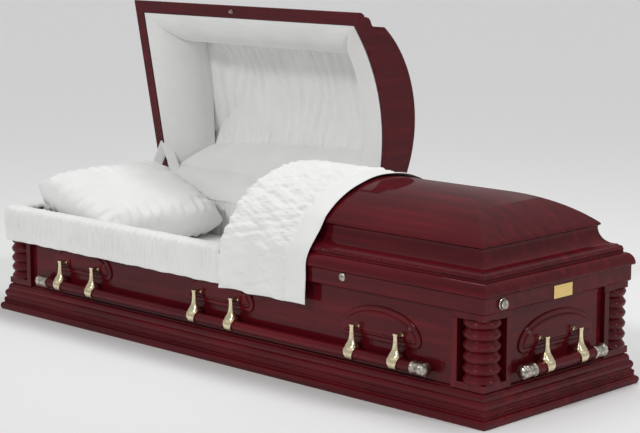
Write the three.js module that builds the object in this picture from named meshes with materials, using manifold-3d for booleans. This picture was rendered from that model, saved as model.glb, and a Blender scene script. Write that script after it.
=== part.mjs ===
import * as THREE from 'three';
import { mergeVertices } from 'three/addons/utils/BufferGeometryUtils.js';
import Module from 'manifold-3d';

// A half-couch funeral casket in polished dark hardwood, with the head lid open and the foot lid closed.
// Millimetres. X runs along the length with the foot end at +X, Y across with the front at -Y and the
// hinges at +Y, and Z up from the middle of the underside.
// An inset is a distance in from the outline of the base, the same on all four sides.

// Body
const LENGTH = 2130;
const WIDTH = 700;
const HALF_LENGTH = LENGTH / 2;
const HALF_WIDTH = WIDTH / 2;
const GAP = 0.3;
const BOARD = 18;
const BASE_TOP = 92;
const PANEL_TOP = 302;
const RAIL_TOP = 349.6;
const PANEL_INSET = 40;
const WALL_INSIDE = PANEL_INSET + BOARD;
const RAIL_INSET = 22;
const RAIL_EDGE = 3;

// Corner posts and their turned columns
const POST_INSET = 26;
const CAP_INSET = 28;
const POST_SIDE = 114;
const STILE = 20;
const BASE_BLOCK = 19;
const CAP_BLOCK = 19;
const RING_RADIUS = 51.5;
const NECK_RADIUS = 41.5;
const RING_PITCH = 31.3;
const FIRST_RING = 27;
const COLUMN_SIDES = 12;
const COLUMN_GAP = 0.5;

// Lids, closed
const SEAT = 350;
const SPLIT = 33;
const SPLIT_GAP = 2;
const LIP_INSET = 13.3;
const SEAT_BORDER = 41;
const ROUND_WIDTH = 23.7;
const ROUND_HEIGHT = 35;
const BEAD_HEIGHT = 22;
const BEAD_RADII = [5, 6];
const BEAD_STEP = 6;
const BEAD_RISE = 9;
const COVE_STEP = 13;
const COVE_WIDTH = 42;
const COVE_HEIGHT = 52;
const COVE_LIP = 8;
const CROWN_EDGE_INSET = 85.4;
const CROWN_EDGE_RISE = 5;
const CROWN_RISE = 100.4;
const CROWN_THICK = 14;
const CROWN_STEPS = 9;
const COVE_BACKING = 20;
const BACKING_FOOT = [4, -5];
const BACKING_HEAD = [0, -9];

// Header boards that close the two lids at the split
const HEADER = 18;
const HEADER_ARCH = 77;
const HEADER_FOOT = 3;

// Hinges
const HINGE_OUT = 11.5;
const HINGE_HEIGHT = 334.5;
const OPEN_ANGLE = THREE.MathUtils.degToRad(79.83);
const BARREL_RADIUS = 6;
const LEAF = 3;
const LEAF_DROP = 26;
const HINGE_END = 110;
const HINGE_FROM_SPLIT = 55;

// Cloth
const CLOTH_GAP = 1;
const LINING = 7;
const LINING_ROLL = 129;
const LINING_DEPTH = 133;
const ROLL_BULGE = 10;
const PANEL_STEP = 25;
const APRON = 12;
const APRON_HEM = 240;
const APRON_STOP = SPLIT - 4;
const APRON_TOP = 4.5;
const OVERLAY_START = 34;
const OVERLAY_END = 400;
const OVERLAY_HEM = 236;
const OVERLAY = 9;
const BED_TOP = 228;
const BED_END_SPACE = 8;
const PILLOW_LENGTH = 400;
const PILLOW_WIDTH = 540;
const PILLOW_THICK = 150;
const PILLOW_TILT = THREE.MathUtils.degToRad(22);
const PILLOW_FROM_END = 285;

// Carrying handles
const BAR_RADIUS = 15;
const BAR_INSET = 10;
const BAR_HEIGHT = 127;
const TIP_LENGTH = 58;
const TIP_RADIUS = 20;
const BORE_GAP = 0.4;
const ARM_TOP = 209;
const ARM_SPREAD = 82;
const END_ARM_SPREAD = 76;
const PAIR_FROM_END = 406;
const PAIR_SPACING = HALF_LENGTH - PAIR_FROM_END;
const BAR_PAST_ARM = 121;
const END_BAR_PAST_ARM = 115;
const SIDE_BAR_HALF = PAIR_SPACING + ARM_SPREAD + BAR_PAST_ARM;
const END_BAR_HALF = END_ARM_SPREAD + END_BAR_PAST_ARM;
const ARM_BAND = 5;
const COLLAR_RISE = 40;
const NECK_HALF = 6;
const PLAQUE_HALF = 150;
const END_PLAQUE_HALF = 165;
const PLAQUE_BOTTOM = 168;
const PLAQUE_HEIGHT = 100;
const PLAQUE_THICK = 10;
const PLAQUE_BORDER = 17;
const PLAQUE_CORNER = 22;

// Small fittings on the rail
const LOCK_FROM_END = 537;
const LOCK_UNDER_RAIL = 15.6;
const LOCK_HEIGHT = RAIL_TOP - LOCK_UNDER_RAIL;
const LOCK_RADIUS = 12;
const TUBE_FROM_CORNER = 92;
const TUBE_UNDER_RAIL = 24.6;
const TUBE_HEIGHT = RAIL_TOP - TUBE_UNDER_RAIL;
const TUBE_RADIUS = 16;
const PLATE_ALONG = 6;
const PLATE_WIDTH = 82;
const PLATE_TALL = 36;
const PLATE_UNDER_RAIL = 27.6;
const PLATE_HEIGHT = RAIL_TOP - PLATE_UNDER_RAIL;
const PLATE = 1.6;

const wasm = await Module();
wasm.setup();

const wood = { color: 0x5a1420, roughness: 0.18, metalness: 0.0 };
const darkWood = { color: 0x40101a, roughness: 0.2, metalness: 0.0 };
const brass = { color: 0xb8a878, roughness: 0.3, metalness: 1.0 };
const silver = { color: 0xb9b5a8, roughness: 0.3, metalness: 1.0 };
const goldPlate = { color: 0xc9a950, roughness: 0.25, metalness: 1.0 };
const cloth = { color: 0xe6e6e2, roughness: 0.9, metalness: 0.0 };

const casket = new THREE.Group();

function piece(name, geometry, look, parent = casket) {
  const mesh = new THREE.Mesh(geometry, new THREE.MeshStandardMaterial(look));
  mesh.name = name;
  parent.add(mesh);
  return mesh;
}

// Closed mesh of loose triangles, turned so that its faces point out
function closedGeometry(triangles) {
  const used = triangles.filter(([a, b, c]) => new THREE.Triangle(a, b, c).getArea() > 1e-5);
  const volume = used.reduce((sum, [a, b, c]) => sum + a.dot(new THREE.Vector3().crossVectors(b, c)), 0);
  const ordered = volume < 0 ? used.map(([a, b, c]) => [a, c, b]) : used;
  const geometry = new THREE.BufferGeometry().setFromPoints(ordered.flat());
  return mergeVertices(geometry, 1e-3);
}

function capTriangles(outline, points) {
  const faces = THREE.ShapeUtils.triangulateShape(outline.map(([u, v]) => new THREE.Vector2(u, v)), []);
  return faces.map((face) => face.map((index) => points[index]));
}

// Carries a profile of [inset, height] points through a row of stations, each a function that gives
// the point of the object at an inset and a height. A closed row is a ring and has no end faces.
// Profile points on the middle line of the object meet those of the far side, so the edge between
// two such points is inside the wood and gets no face.
function sweep(outline, stations, closed = false) {
  const clockwise = THREE.ShapeUtils.isClockWise(outline.map(([u, v]) => new THREE.Vector2(u, v)));
  const profile = clockwise ? [...outline].reverse() : outline;
  const rows = stations.map((station) => profile.map(([inset, z]) => station(inset, z)));
  const onRidge = (index) => Math.abs(profile[index][0] - HALF_WIDTH) < 1e-6;
  const triangles = [];
  const last = closed ? rows.length : rows.length - 1;
  for (let s = 0; s < last; s++) {
    const row = rows[s];
    const next = rows[(s + 1) % rows.length];
    for (let i = 0; i < profile.length; i++) {
      const j = (i + 1) % profile.length;
      if (onRidge(i) && onRidge(j)) continue;
      triangles.push([row[i], row[j], next[j]], [row[i], next[j], next[i]]);
    }
  }
  if (!closed) {
    triangles.push(...capTriangles(profile, rows[0]).map(([a, b, c]) => [a, c, b]));
    triangles.push(...capTriangles(profile, rows[rows.length - 1]));
  }
  return closedGeometry(triangles);
}

// Skins a row of closed loops of as many points each, with a flat face on the first and the last
function loft(loops, flat) {
  const triangles = [];
  for (let s = 0; s + 1 < loops.length; s++) {
    for (let i = 0; i < loops[s].length; i++) {
      const j = (i + 1) % loops[s].length;
      triangles.push([loops[s][i], loops[s][j], loops[s + 1][j]]);
      triangles.push([loops[s][i], loops[s + 1][j], loops[s + 1][i]]);
    }
  }
  triangles.push(...capTriangles(loops[0].map(flat), loops[0]).map(([a, b, c]) => [a, c, b]));
  triangles.push(...capTriangles(loops[loops.length - 1].map(flat), loops[loops.length - 1]));
  return closedGeometry(triangles);
}

const corner = (endSign, sideSign) => (inset, z) =>
  new THREE.Vector3(endSign * (HALF_LENGTH - inset), sideSign * (HALF_WIDTH - inset), z);
const acrossSide = (x, sideSign) => (inset, z) => new THREE.Vector3(x, sideSign * (HALF_WIDTH - inset), z);
const acrossEnd = (y, endSign) => (inset, z) => new THREE.Vector3(endSign * (HALF_LENGTH - inset), y, z);
const allRound = [corner(-1, -1), corner(1, -1), corner(1, 1), corner(-1, 1)];

// Arc of an ellipse from one angle to another, in degrees, as [inset, height] points
function arc(centre, radii, from, to, steps) {
  return Array.from({ length: steps + 1 }, (_, i) => {
    const angle = THREE.MathUtils.degToRad(from + ((to - from) * i) / steps);
    return [centre[0] + radii[0] * Math.cos(angle), centre[1] + radii[1] * Math.sin(angle)];
  });
}

// Extrudes an outline of [y, z] points along X
function extrudeAlongX(shape, start, depth, curveSegments = 10) {
  const geometry = new THREE.ExtrudeGeometry(shape, { depth, bevelEnabled: false, curveSegments });
  const turn = new THREE.Matrix4().makeBasis(
    new THREE.Vector3(0, 1, 0), new THREE.Vector3(0, 0, 1), new THREE.Vector3(1, 0, 0));
  geometry.applyMatrix4(turn);
  geometry.translate(start, 0, 0);
  return geometry;
}

function shapeOf(points) {
  return new THREE.Shape(points.map(([u, v]) => new THREE.Vector2(u, v)));
}

function boxBetween(low, high) {
  const size = high.map((value, axis) => value - low[axis]);
  const box = new THREE.BoxGeometry(...size);
  box.translate(...low.map((value, axis) => value + size[axis] / 2));
  return box;
}

function asSolid(geometry) {
  const bare = geometry.clone();
  bare.deleteAttribute('normal');
  bare.deleteAttribute('uv');
  const merged = mergeVertices(bare, 1e-3);
  return new wasm.Manifold(new wasm.Mesh({
    numProp: 3,
    vertProperties: merged.attributes.position.array,
    triVerts: new Uint32Array(merged.index.array),
  }));
}

function asGeometry(solid) {
  const mesh = solid.getMesh();
  const geometry = new THREE.BufferGeometry();
  geometry.setAttribute('position', new THREE.BufferAttribute(new Float32Array(mesh.vertProperties), 3));
  geometry.setIndex(new THREE.BufferAttribute(new Uint32Array(mesh.triVerts), 1));
  return geometry;
}

// The arc of the lid's crown, across the whole width, at a depth below its top
const crownHalfSpan = HALF_WIDTH - CROWN_EDGE_INSET;
const crownRadius = (crownHalfSpan ** 2 + CROWN_RISE ** 2) / (2 * CROWN_RISE);
const beadCentre = [LIP_INSET + ROUND_WIDTH + BEAD_STEP, SEAT + ROUND_HEIGHT + BEAD_RISE];
const coveFoot = [LIP_INSET + ROUND_WIDTH + COVE_STEP, SEAT + ROUND_HEIGHT + BEAD_HEIGHT];
const coveHead = [coveFoot[0] + COVE_WIDTH, coveFoot[1] + COVE_HEIGHT];
const crownEdge = [CROWN_EDGE_INSET, coveHead[1] + CROWN_EDGE_RISE * 2];
const crownCentre = crownEdge[1] + CROWN_RISE - crownRadius;
const crownHeight = (inset, depth = 0) =>
  crownCentre + Math.sqrt((crownRadius - depth) ** 2 - (HALF_WIDTH - inset) ** 2);

function crownArc(fromInset, depth, steps) {
  return Array.from({ length: steps + 1 }, (_, i) => {
    const inset = HALF_WIDTH - (HALF_WIDTH - fromInset) * (1 - i / steps);
    return [inset, crownHeight(inset, depth)];
  });
}

// Inside of the lid's moulding, moved in by a clearance, from the seat up to the crown
function mouldingInside(clearance) {
  const edge = LIP_INSET + SEAT_BORDER + clearance;
  return [
    [edge, SEAT],
    [edge, SEAT + BEAD_HEIGHT],
    [coveFoot[0] + COVE_BACKING + BACKING_FOOT[0] + clearance, coveFoot[1] + BACKING_FOOT[1]],
    [coveHead[0] + COVE_BACKING + BACKING_HEAD[0] + clearance, coveHead[1] + BACKING_HEAD[1]],
  ];
}

// Base and floor
function baseProfile() {
  return [
    [PANEL_INSET - GAP, 0],
    [4, 0],
    ...arc([8, 11.5], [8, 11], 215, 110, 5),
    [10.5, 24.5],
    [9.5, 29],
    ...arc([13, 35], [5, 5.5], 235, 125, 4),
    [15.7, 44],
    ...arc([24, 56], [11.8, 15], 200, 120, 4),
    [20, 75],
    [30.7, BASE_TOP - 2],
    [32, BASE_TOP],
    [PANEL_INSET - GAP, BASE_TOP],
  ];
}

function base() {
  const floor = PANEL_INSET;
  const half = [HALF_LENGTH - floor, HALF_WIDTH - floor];
  piece('floor_board', boxBetween([-half[0], -half[1], 0], [half[0], half[1], BOARD]), darkWood);
  piece('base_moulding', sweep(baseProfile(), allRound, true), wood);
}

// Side and end boards, between the corner posts
function walls() {
  const profile = [
    [PANEL_INSET, BOARD + GAP],
    [WALL_INSIDE, BOARD + GAP],
    [WALL_INSIDE, PANEL_TOP - GAP],
    [PANEL_INSET, PANEL_TOP - GAP],
  ];
  const postReach = POST_INSET + POST_SIDE + GAP;
  const alongX = HALF_LENGTH - postReach;
  const alongY = HALF_WIDTH - postReach;
  piece('side_front', sweep(profile, [acrossSide(-alongX, -1), acrossSide(alongX, -1)]), wood);
  piece('side_back', sweep(profile, [acrossSide(-alongX, 1), acrossSide(alongX, 1)]), wood);
  piece('end_head', sweep(profile, [acrossEnd(-alongY, -1), acrossEnd(alongY, -1)]), wood);
  piece('end_foot', sweep(profile, [acrossEnd(-alongY, 1), acrossEnd(alongY, 1)]), wood);
}

function topRail() {
  const profile = [
    [RAIL_INSET + RAIL_EDGE, PANEL_TOP],
    [WALL_INSIDE, PANEL_TOP],
    [WALL_INSIDE, RAIL_TOP],
    [RAIL_INSET + RAIL_EDGE, RAIL_TOP],
    [RAIL_INSET, RAIL_TOP - RAIL_EDGE],
    [RAIL_INSET, PANEL_TOP + RAIL_EDGE],
  ];
  piece('top_rail', sweep(profile, allRound, true), wood);
}

// Each post is cut out at its outer corner for the column, between a base block and a cap block
function cornerPost() {
  const reach = POST_INSET + POST_SIDE;
  const niche = reach - STILE;
  const nicheBottom = BASE_TOP + BASE_BLOCK;
  const nicheTop = PANEL_TOP - CAP_BLOCK;
  const foot = asSolid(boxBetween([PANEL_INSET + GAP, PANEL_INSET + GAP, BOARD + GAP],
    [reach, reach, BASE_TOP + 1]));
  const block = asSolid(boxBetween([POST_INSET, POST_INSET, BASE_TOP + GAP], [reach, reach, nicheTop]));
  const cap = asSolid(boxBetween([CAP_INSET, CAP_INSET, nicheTop - 1], [reach, reach, PANEL_TOP - GAP]));
  const room = asSolid(boxBetween([0, 0, nicheBottom], [niche, niche, nicheTop]));
  return asGeometry(foot.add(block).add(cap).subtract(room));
}

// One turned ring: a sloping shoulder above a round belly, as [radius, share of the pitch]
function ringProfile() {
  const swell = RING_RADIUS - NECK_RADIUS;
  return [
    [NECK_RADIUS, -0.5],
    [NECK_RADIUS + swell * 0.8, -0.25],
    [RING_RADIUS, 0],
    [NECK_RADIUS + swell * 0.2, 0.4],
  ];
}

function cornerColumn() {
  const bottom = BASE_TOP + BASE_BLOCK + GAP;
  const top = PANEL_TOP - CAP_BLOCK - GAP;
  const points = [];
  const firstRing = BASE_TOP + FIRST_RING;
  for (let ring = 0; firstRing + (ring - 0.5) * RING_PITCH < top; ring++) {
    for (const [radius, share] of ringProfile()) {
      points.push([radius, firstRing + (ring + share) * RING_PITCH]);
    }
  }
  const inside = points.filter(([, z]) => z > bottom + 1 && z < top - 1);
  const below = points.filter(([, z]) => z <= bottom + 1).pop();
  const above = points.find(([, z]) => z >= top - 1) ?? inside[inside.length - 1];
  const outline = [[0, bottom], [below[0], bottom], ...inside, [above[0], top], [0, top]];
  const lathe = new THREE.LatheGeometry(outline.map(([r, z]) => new THREE.Vector2(r, z)), COLUMN_SIDES);
  lathe.rotateX(Math.PI / 2);
  return lathe;
}

const columnInset = POST_INSET + POST_SIDE - STILE - COLUMN_GAP - RING_RADIUS;

function cornersOfBody() {
  const corners = [['front_head', -1, -1], ['front_foot', 1, -1], ['back_foot', 1, 1], ['back_head', -1, 1]];
  corners.forEach(([name, endSign, sideSign], quarter) => {
    const post = piece(`corner_post_${name}`, cornerPost(), wood);
    post.position.set(endSign * HALF_LENGTH, sideSign * HALF_WIDTH, 0);
    post.rotation.z = (quarter * Math.PI) / 2;
    const column = piece(`corner_column_${name}`, cornerColumn(), wood);
    column.position.set(endSign * (HALF_LENGTH - columnInset), sideSign * (HALF_WIDTH - columnInset), 0);
  });
}

// Outline of a plaque, drawn in by a distance: flat below, round lower corners, an elliptical arch
function plaqueOutline(half, drawnIn) {
  const radius = Math.max(PLAQUE_CORNER - drawnIn, 2);
  const shoulder = PLAQUE_BOTTOM + PLAQUE_CORNER;
  const rise = PLAQUE_HEIGHT - PLAQUE_CORNER;
  const low = shoulder - (PLAQUE_CORNER - drawnIn) + radius;
  return [
    ...arc([half - drawnIn - radius, low], [radius, radius], 270, 330, 2),
    ...arc([0, shoulder], [half - drawnIn, rise - drawnIn], 0, 180, 12),
    ...arc([drawnIn + radius - half, low], [radius, radius], 210, 270, 2),
  ];
}

function plaque(half) {
  const face = PANEL_INSET - PLAQUE_THICK;
  const steps = [
    [0, PANEL_INSET - GAP],
    [0, face + 5],
    [PLAQUE_BORDER - 4, face + 3.5],
    [PLAQUE_BORDER, face],
  ];
  const loops = steps.map(([drawnIn, inset]) =>
    plaqueOutline(half, drawnIn).map(([x, z]) => new THREE.Vector3(x, inset, z)));
  return loft(loops, (point) => [point.x, point.z]);
}

// Bar with a cast ferrule on each end, along X
function handleBar(half) {
  const shaft = half - TIP_LENGTH;
  const tip = [
    [BAR_RADIUS, shaft],
    [TIP_RADIUS * 0.9, shaft],
    [TIP_RADIUS * 0.8, shaft + TIP_LENGTH * 0.16],
    [TIP_RADIUS * 0.95, shaft + TIP_LENGTH * 0.62],
    [TIP_RADIUS * 0.84, shaft + TIP_LENGTH * 0.68],
    [TIP_RADIUS, shaft + TIP_LENGTH * 0.78],
    [TIP_RADIUS, shaft + TIP_LENGTH * 0.9],
    [TIP_RADIUS * 0.8, half],
    [0, half],
  ];
  const other = tip.map(([r, x]) => [r, -x]).reverse();
  const lathe = new THREE.LatheGeometry([...other, ...tip].map(([r, x]) => new THREE.Vector2(r, x)), 12);
  lathe.rotateZ(-Math.PI / 2);
  lathe.translate(0, BAR_INSET, BAR_HEIGHT);
  return lathe;
}

// Cast arm, seen from the side as [inset, height], with the bore for the bar
function armShape() {
  const back = PANEL_INSET - PLAQUE_THICK - GAP;
  const band = BAR_RADIUS + ARM_BAND;
  const shape = shapeOf([
    [back, ARM_TOP],
    [BAR_INSET - NECK_HALF - 2, ARM_TOP],
    [BAR_INSET - NECK_HALF - 2, ARM_TOP - 7],
    [BAR_INSET - NECK_HALF, ARM_TOP - 12],
    [BAR_INSET - NECK_HALF, BAR_HEIGHT + COLLAR_RISE],
    [BAR_INSET - 13, BAR_HEIGHT + 27],
    [BAR_INSET - band + 2, BAR_HEIGHT + 19],
    ...arc([BAR_INSET, BAR_HEIGHT], [band, band], 145, 360, 8),
    [BAR_INSET + 15, BAR_HEIGHT + 20],
    [BAR_INSET + NECK_HALF, BAR_HEIGHT + COLLAR_RISE],
    [BAR_INSET + NECK_HALF, ARM_TOP - 17],
    [back, ARM_TOP - 14],
  ]);
  const bore = new THREE.Path();
  bore.absellipse(BAR_INSET, BAR_HEIGHT, BAR_RADIUS + BORE_GAP, BAR_RADIUS + BORE_GAP, 0, 2 * Math.PI);
  shape.holes.push(bore);
  return shape;
}

// Width of the arm at a height: a narrow neck, a flared collar and a tapering band round the bar
function armWidth(z) {
  const widths = [
    [BAR_HEIGHT - 20, 24],
    [BAR_HEIGHT, 30],
    [BAR_HEIGHT + 19, 40],
    [BAR_HEIGHT + COLLAR_RISE, 17],
    [ARM_TOP - 16, 14],
    [ARM_TOP - 7, 17],
    [ARM_TOP, 16],
  ];
  const next = widths.findIndex(([height]) => height >= z);
  if (next <= 0) return widths[next === 0 ? 0 : widths.length - 1][1];
  const [lowZ, low] = widths[next - 1];
  const [highZ, high] = widths[next];
  return low + ((high - low) * (z - lowZ)) / (highZ - lowZ);
}

function handleArm() {
  const geometry = extrudeAlongX(armShape(), -0.5, 1, 6);
  const position = geometry.attributes.position;
  for (let i = 0; i < position.count; i++) {
    position.setX(i, position.getX(i) * armWidth(position.getZ(i)));
  }
  return geometry;
}

// A frame for each side: X along it, Y in from the base outline, Z up
function sideFrame(x, y, quarter) {
  const frame = new THREE.Group();
  frame.position.set(x, y, 0);
  frame.rotation.z = (quarter * Math.PI) / 2;
  casket.add(frame);
  return frame;
}

function handles(side, frame, half, plaqueHalf, pairs, spread) {
  piece(`handle_bar_${side}`, handleBar(half), wood, frame);
  pairs.forEach((centre, index) => {
    const plaqueName = pairs.length > 1 ? `plaque_${side}_${index + 1}` : `plaque_${side}`;
    piece(plaqueName, plaque(plaqueHalf), wood, frame).position.x = centre;
    for (const [order, offset] of [[1, -spread], [2, spread]]) {
      const arm = piece(`handle_arm_${side}_${index * 2 + order}`, handleArm(), brass, frame);
      arm.position.x = centre + offset;
    }
  });
}

// Round fitting on the rail, turned about the line out of the rail, from [radius, height] points
function railFitting(outline, along, height) {
  const lathe = new THREE.LatheGeometry(outline.map(([r, h]) => new THREE.Vector2(r, h)), 12);
  lathe.rotateX(Math.PI);
  lathe.translate(along, RAIL_INSET - GAP, height);
  return lathe;
}

function railFittings(front, foot) {
  const lock = [
    [0, 0],
    [LOCK_RADIUS, 0],
    [LOCK_RADIUS, 1.5],
    [LOCK_RADIUS * 0.75, 3],
    [LOCK_RADIUS * 0.6, 1.8],
    [0, 1.8],
  ];
  piece('lid_lock', railFitting(lock, HALF_LENGTH - LOCK_FROM_END, LOCK_HEIGHT), silver, front);
  const cap = [
    [0, 0],
    [TUBE_RADIUS, 0],
    [TUBE_RADIUS, 4],
    [TUBE_RADIUS * 0.85, 5],
    [TUBE_RADIUS * 0.85, 11],
    [TUBE_RADIUS * 0.7, 13],
    [0, 13],
  ];
  piece('record_tube_cap', railFitting(cap, TUBE_FROM_CORNER - HALF_WIDTH, TUBE_HEIGHT), silver, foot);
  const outer = RAIL_INSET - GAP;
  const plate = boxBetween([PLATE_ALONG - PLATE_WIDTH / 2, outer - PLATE, PLATE_HEIGHT - PLATE_TALL / 2],
    [PLATE_ALONG + PLATE_WIDTH / 2, outer, PLATE_HEIGHT + PLATE_TALL / 2]);
  piece('name_plate', plate, goldPlate, foot);
}

// Lids: moulding and crown as one shell, open below
function shellProfile() {
  const roundCentre = [LIP_INSET + ROUND_WIDTH, SEAT];
  const coveCentre = [coveFoot[0], coveHead[1]];
  return [
    ...arc(roundCentre, [ROUND_WIDTH, ROUND_HEIGHT], 180, 90, 4),
    ...arc(beadCentre, BEAD_RADII, 220, 130, 2),
    coveFoot,
    ...arc(coveCentre, [COVE_WIDTH, COVE_HEIGHT - COVE_LIP], 270, 360, 5),
    [CROWN_EDGE_INSET + 3, crownEdge[1] - CROWN_EDGE_RISE],
    ...crownArc(CROWN_EDGE_INSET, 0, CROWN_STEPS),
    ...crownArc(coveHead[0] + COVE_BACKING, CROWN_THICK, CROWN_STEPS).reverse(),
    ...mouldingInside(0).reverse(),
  ];
}

// The header board fills the end of a shell, with an arch cut up into its lower edge
function headerShape() {
  const half = [
    ...mouldingInside(GAP).slice(0, 4),
    ...crownArc(coveHead[0] + COVE_BACKING + GAP, CROWN_THICK + GAP * 2, CROWN_STEPS),
  ];
  const left = half.map(([inset, z]) => [inset - HALF_WIDTH, z]);
  const right = left.slice(0, -1).map(([y, z]) => [-y, z]).reverse();
  const archHalf = -left[0][0] - HEADER_FOOT;
  const radius = (archHalf ** 2 + HEADER_ARCH ** 2) / (2 * HEADER_ARCH);
  const centre = [0, SEAT + HEADER_ARCH - radius];
  const sweepAngle = THREE.MathUtils.radToDeg(Math.asin(archHalf / radius));
  const arch = arc(centre, [radius, radius], 90 - sweepAngle, 90 + sweepAngle, 10);
  return shapeOf([...left, ...right, ...arch]);
}

// Padded lining: a roll that slopes in from the seat on all four sides, round a flat panel
function liningProfile() {
  const edge = LIP_INSET + SEAT_BORDER + CLOTH_GAP;
  const outer = [
    ...mouldingInside(CLOTH_GAP * 2).slice(1),
    ...crownArc(coveHead[0] + COVE_BACKING + CLOTH_GAP * 2, CROWN_THICK + CLOTH_GAP * 2, 5),
  ];
  const panel = SEAT + LINING_DEPTH;
  return [
    [edge, SEAT + CLOTH_GAP],
    ...outer,
    [HALF_WIDTH, panel + LINING],
    [edge + LINING_ROLL + PANEL_STEP, panel + LINING],
    [edge + LINING_ROLL, panel],
    ...arc([edge + ROLL_BULGE, panel + ROLL_BULGE], [LINING_ROLL - 12, LINING_DEPTH - 12], 340, 290, 3),
    [edge + LINING, SEAT + CLOTH_GAP],
  ];
}

// At the split the lining stops at the header and follows the header's arch
function liningStations(endSign, splitFace) {
  const edge = LIP_INSET + SEAT_BORDER;
  const splitAt = (share) => (inset, z) => {
    const y = share * (HALF_WIDTH - inset);
    const arch = HEADER_ARCH * (1 - share ** 2);
    const upTo = THREE.MathUtils.clamp((SEAT + LINING_DEPTH - z) / LINING_DEPTH, 0, 1);
    return new THREE.Vector3(splitFace - endSign * (edge - inset), y, z + arch * upTo);
  };
  const shares = [-1, -0.6, -0.2, 0.2, 0.6, 1].map((share) => share * endSign);
  return [corner(endSign, endSign), corner(endSign, -endSign), ...shares.map(splitAt)];
}

function lidPieces(name, endSign, frame) {
  const split = SPLIT + (endSign * SPLIT_GAP) / 2;
  const ends = [acrossSide(split, -1), corner(endSign, -1), corner(endSign, 1), acrossSide(split, 1)];
  piece(`${name}_lid_shell`, sweep(shellProfile(), ends), wood, frame);
  const headerStart = endSign > 0 ? split : split - HEADER;
  piece(`${name}_lid_header`, extrudeAlongX(headerShape(), headerStart, HEADER), wood, frame);
  const stations = liningStations(endSign, split + endSign * (HEADER + CLOTH_GAP));
  piece(`${name}_lid_lining`, sweep(liningProfile(), stations, true), cloth, frame);
  piece(`${name}_hinge_leaf`, lidLeaf(endSign), brass, frame);
}

const hingeAxis = [HALF_WIDTH + HINGE_OUT, HINGE_HEIGHT];

// Cranked leaf that joins the hinge barrel to the back edge of a lid
function lidLeaf(endSign) {
  const y = hingeAxis[0];
  const under = hingeAxis[1] + BARREL_RADIUS + GAP * 2;
  const top = SEAT + LEAF * 2;
  const lip = HALF_WIDTH - LIP_INSET + GAP * 2;
  const outline = shapeOf([
    [y - LEAF / 2, under],
    [y + LEAF / 2, under],
    [y + LEAF / 2, top],
    [lip, top],
    [lip, top - LEAF],
    [y - LEAF / 2, top - LEAF],
  ]);
  const far = endSign * (HALF_LENGTH - HINGE_END);
  const near = SPLIT + endSign * HINGE_FROM_SPLIT;
  return extrudeAlongX(outline, Math.min(far, near), Math.abs(far - near));
}

// Long leaf on the back of the rail, rolled into the hinge barrel
function bodyLeaf() {
  const face = HALF_WIDTH - RAIL_INSET + GAP;
  const [y, z] = hingeAxis;
  const outline = shapeOf([
    [face, z - LEAF_DROP],
    [face + LEAF, z - LEAF_DROP],
    [face + LEAF, z - LEAF],
    ...arc([y, z], [BARREL_RADIUS, BARREL_RADIUS], 210, 540, 11),
    [face, z],
  ]);
  return extrudeAlongX(outline, HINGE_END - HALF_LENGTH, LENGTH - 2 * HINGE_END);
}

// A group that turns about the hinge axis and holds its pieces as they lie when closed
function lidFrame(angle) {
  const pivot = new THREE.Group();
  pivot.position.set(0, ...hingeAxis);
  pivot.rotation.x = -angle;
  const closed = new THREE.Group();
  closed.position.set(0, -hingeAxis[0], -hingeAxis[1]);
  pivot.add(closed);
  casket.add(pivot);
  return closed;
}

// Cloth over the foot lid: down the front, over the moulding and the crown, to the back edge
function overlayCloth() {
  const clear = CLOTH_GAP;
  const under = [
    [LIP_INSET - clear, OVERLAY_HEM],
    [LIP_INSET - clear, SEAT + 4],
    [LIP_INSET + 4, SEAT + ROUND_HEIGHT * 0.8],
    [LIP_INSET + ROUND_WIDTH - 4, SEAT + ROUND_HEIGHT + 12],
    [CROWN_EDGE_INSET - 3, crownEdge[1] + 1],
  ];
  const over = under.map(([inset, z], index) => [inset - OVERLAY, index ? z + OVERLAY / 2 : z]);
  const arcAt = (lift) => {
    const radius = crownRadius + lift;
    const half = THREE.MathUtils.radToDeg(Math.asin(crownHalfSpan / crownRadius));
    return arc([0, crownCentre], [radius, radius], 90 + half, 90 - half, 12);
  };
  const front = (points) => points.map(([inset, z]) => [inset - HALF_WIDTH, z]);
  const outline = shapeOf([
    ...front(under),
    ...arcAt(clear),
    ...arcAt(clear + OVERLAY).reverse(),
    ...front(over).reverse(),
  ]);
  return extrudeAlongX(outline, OVERLAY_START, OVERLAY_END - OVERLAY_START);
}

// Skirt over the rail round the open part, down the outside of the front and the head end
function apron() {
  const outer = RAIL_INSET - CLOTH_GAP - APRON;
  const top = RAIL_TOP + APRON_TOP;
  const pastColumn = columnInset - RING_RADIUS - CLOTH_GAP * 2;
  const profile = [
    [outer, APRON_HEM],
    [pastColumn, APRON_HEM],
    [pastColumn, PANEL_TOP],
    [RAIL_INSET - CLOTH_GAP, PANEL_TOP + APRON],
    [RAIL_INSET - CLOTH_GAP, RAIL_TOP + CLOTH_GAP],
    [WALL_INSIDE + LINING, RAIL_TOP + CLOTH_GAP],
    [WALL_INSIDE + LINING, top],
    [outer + APRON / 2, top],
    [outer, top - APRON / 2],
  ];
  const back = HALF_WIDTH - RAIL_INSET;
  return sweep(profile, [acrossSide(APRON_STOP, -1), corner(-1, -1), acrossEnd(back, -1)]);
}

// Outline of the inside of the box in plan, stepped in round the corner posts
function insideOutline(inset) {
  const step = inset + POST_INSET + POST_SIDE - WALL_INSIDE;
  const [x, y] = [HALF_LENGTH - inset, HALF_WIDTH - inset];
  const [cutX, cutY] = [HALF_LENGTH - step, HALF_WIDTH - step];
  return [
    [cutX, y], [cutX, cutY], [x, cutY], [x, -cutY], [cutX, -cutY], [cutX, -y],
    [-cutX, -y], [-cutX, -cutY], [-x, -cutY], [-x, cutY], [-cutX, cutY], [-cutX, y],
  ];
}

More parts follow.
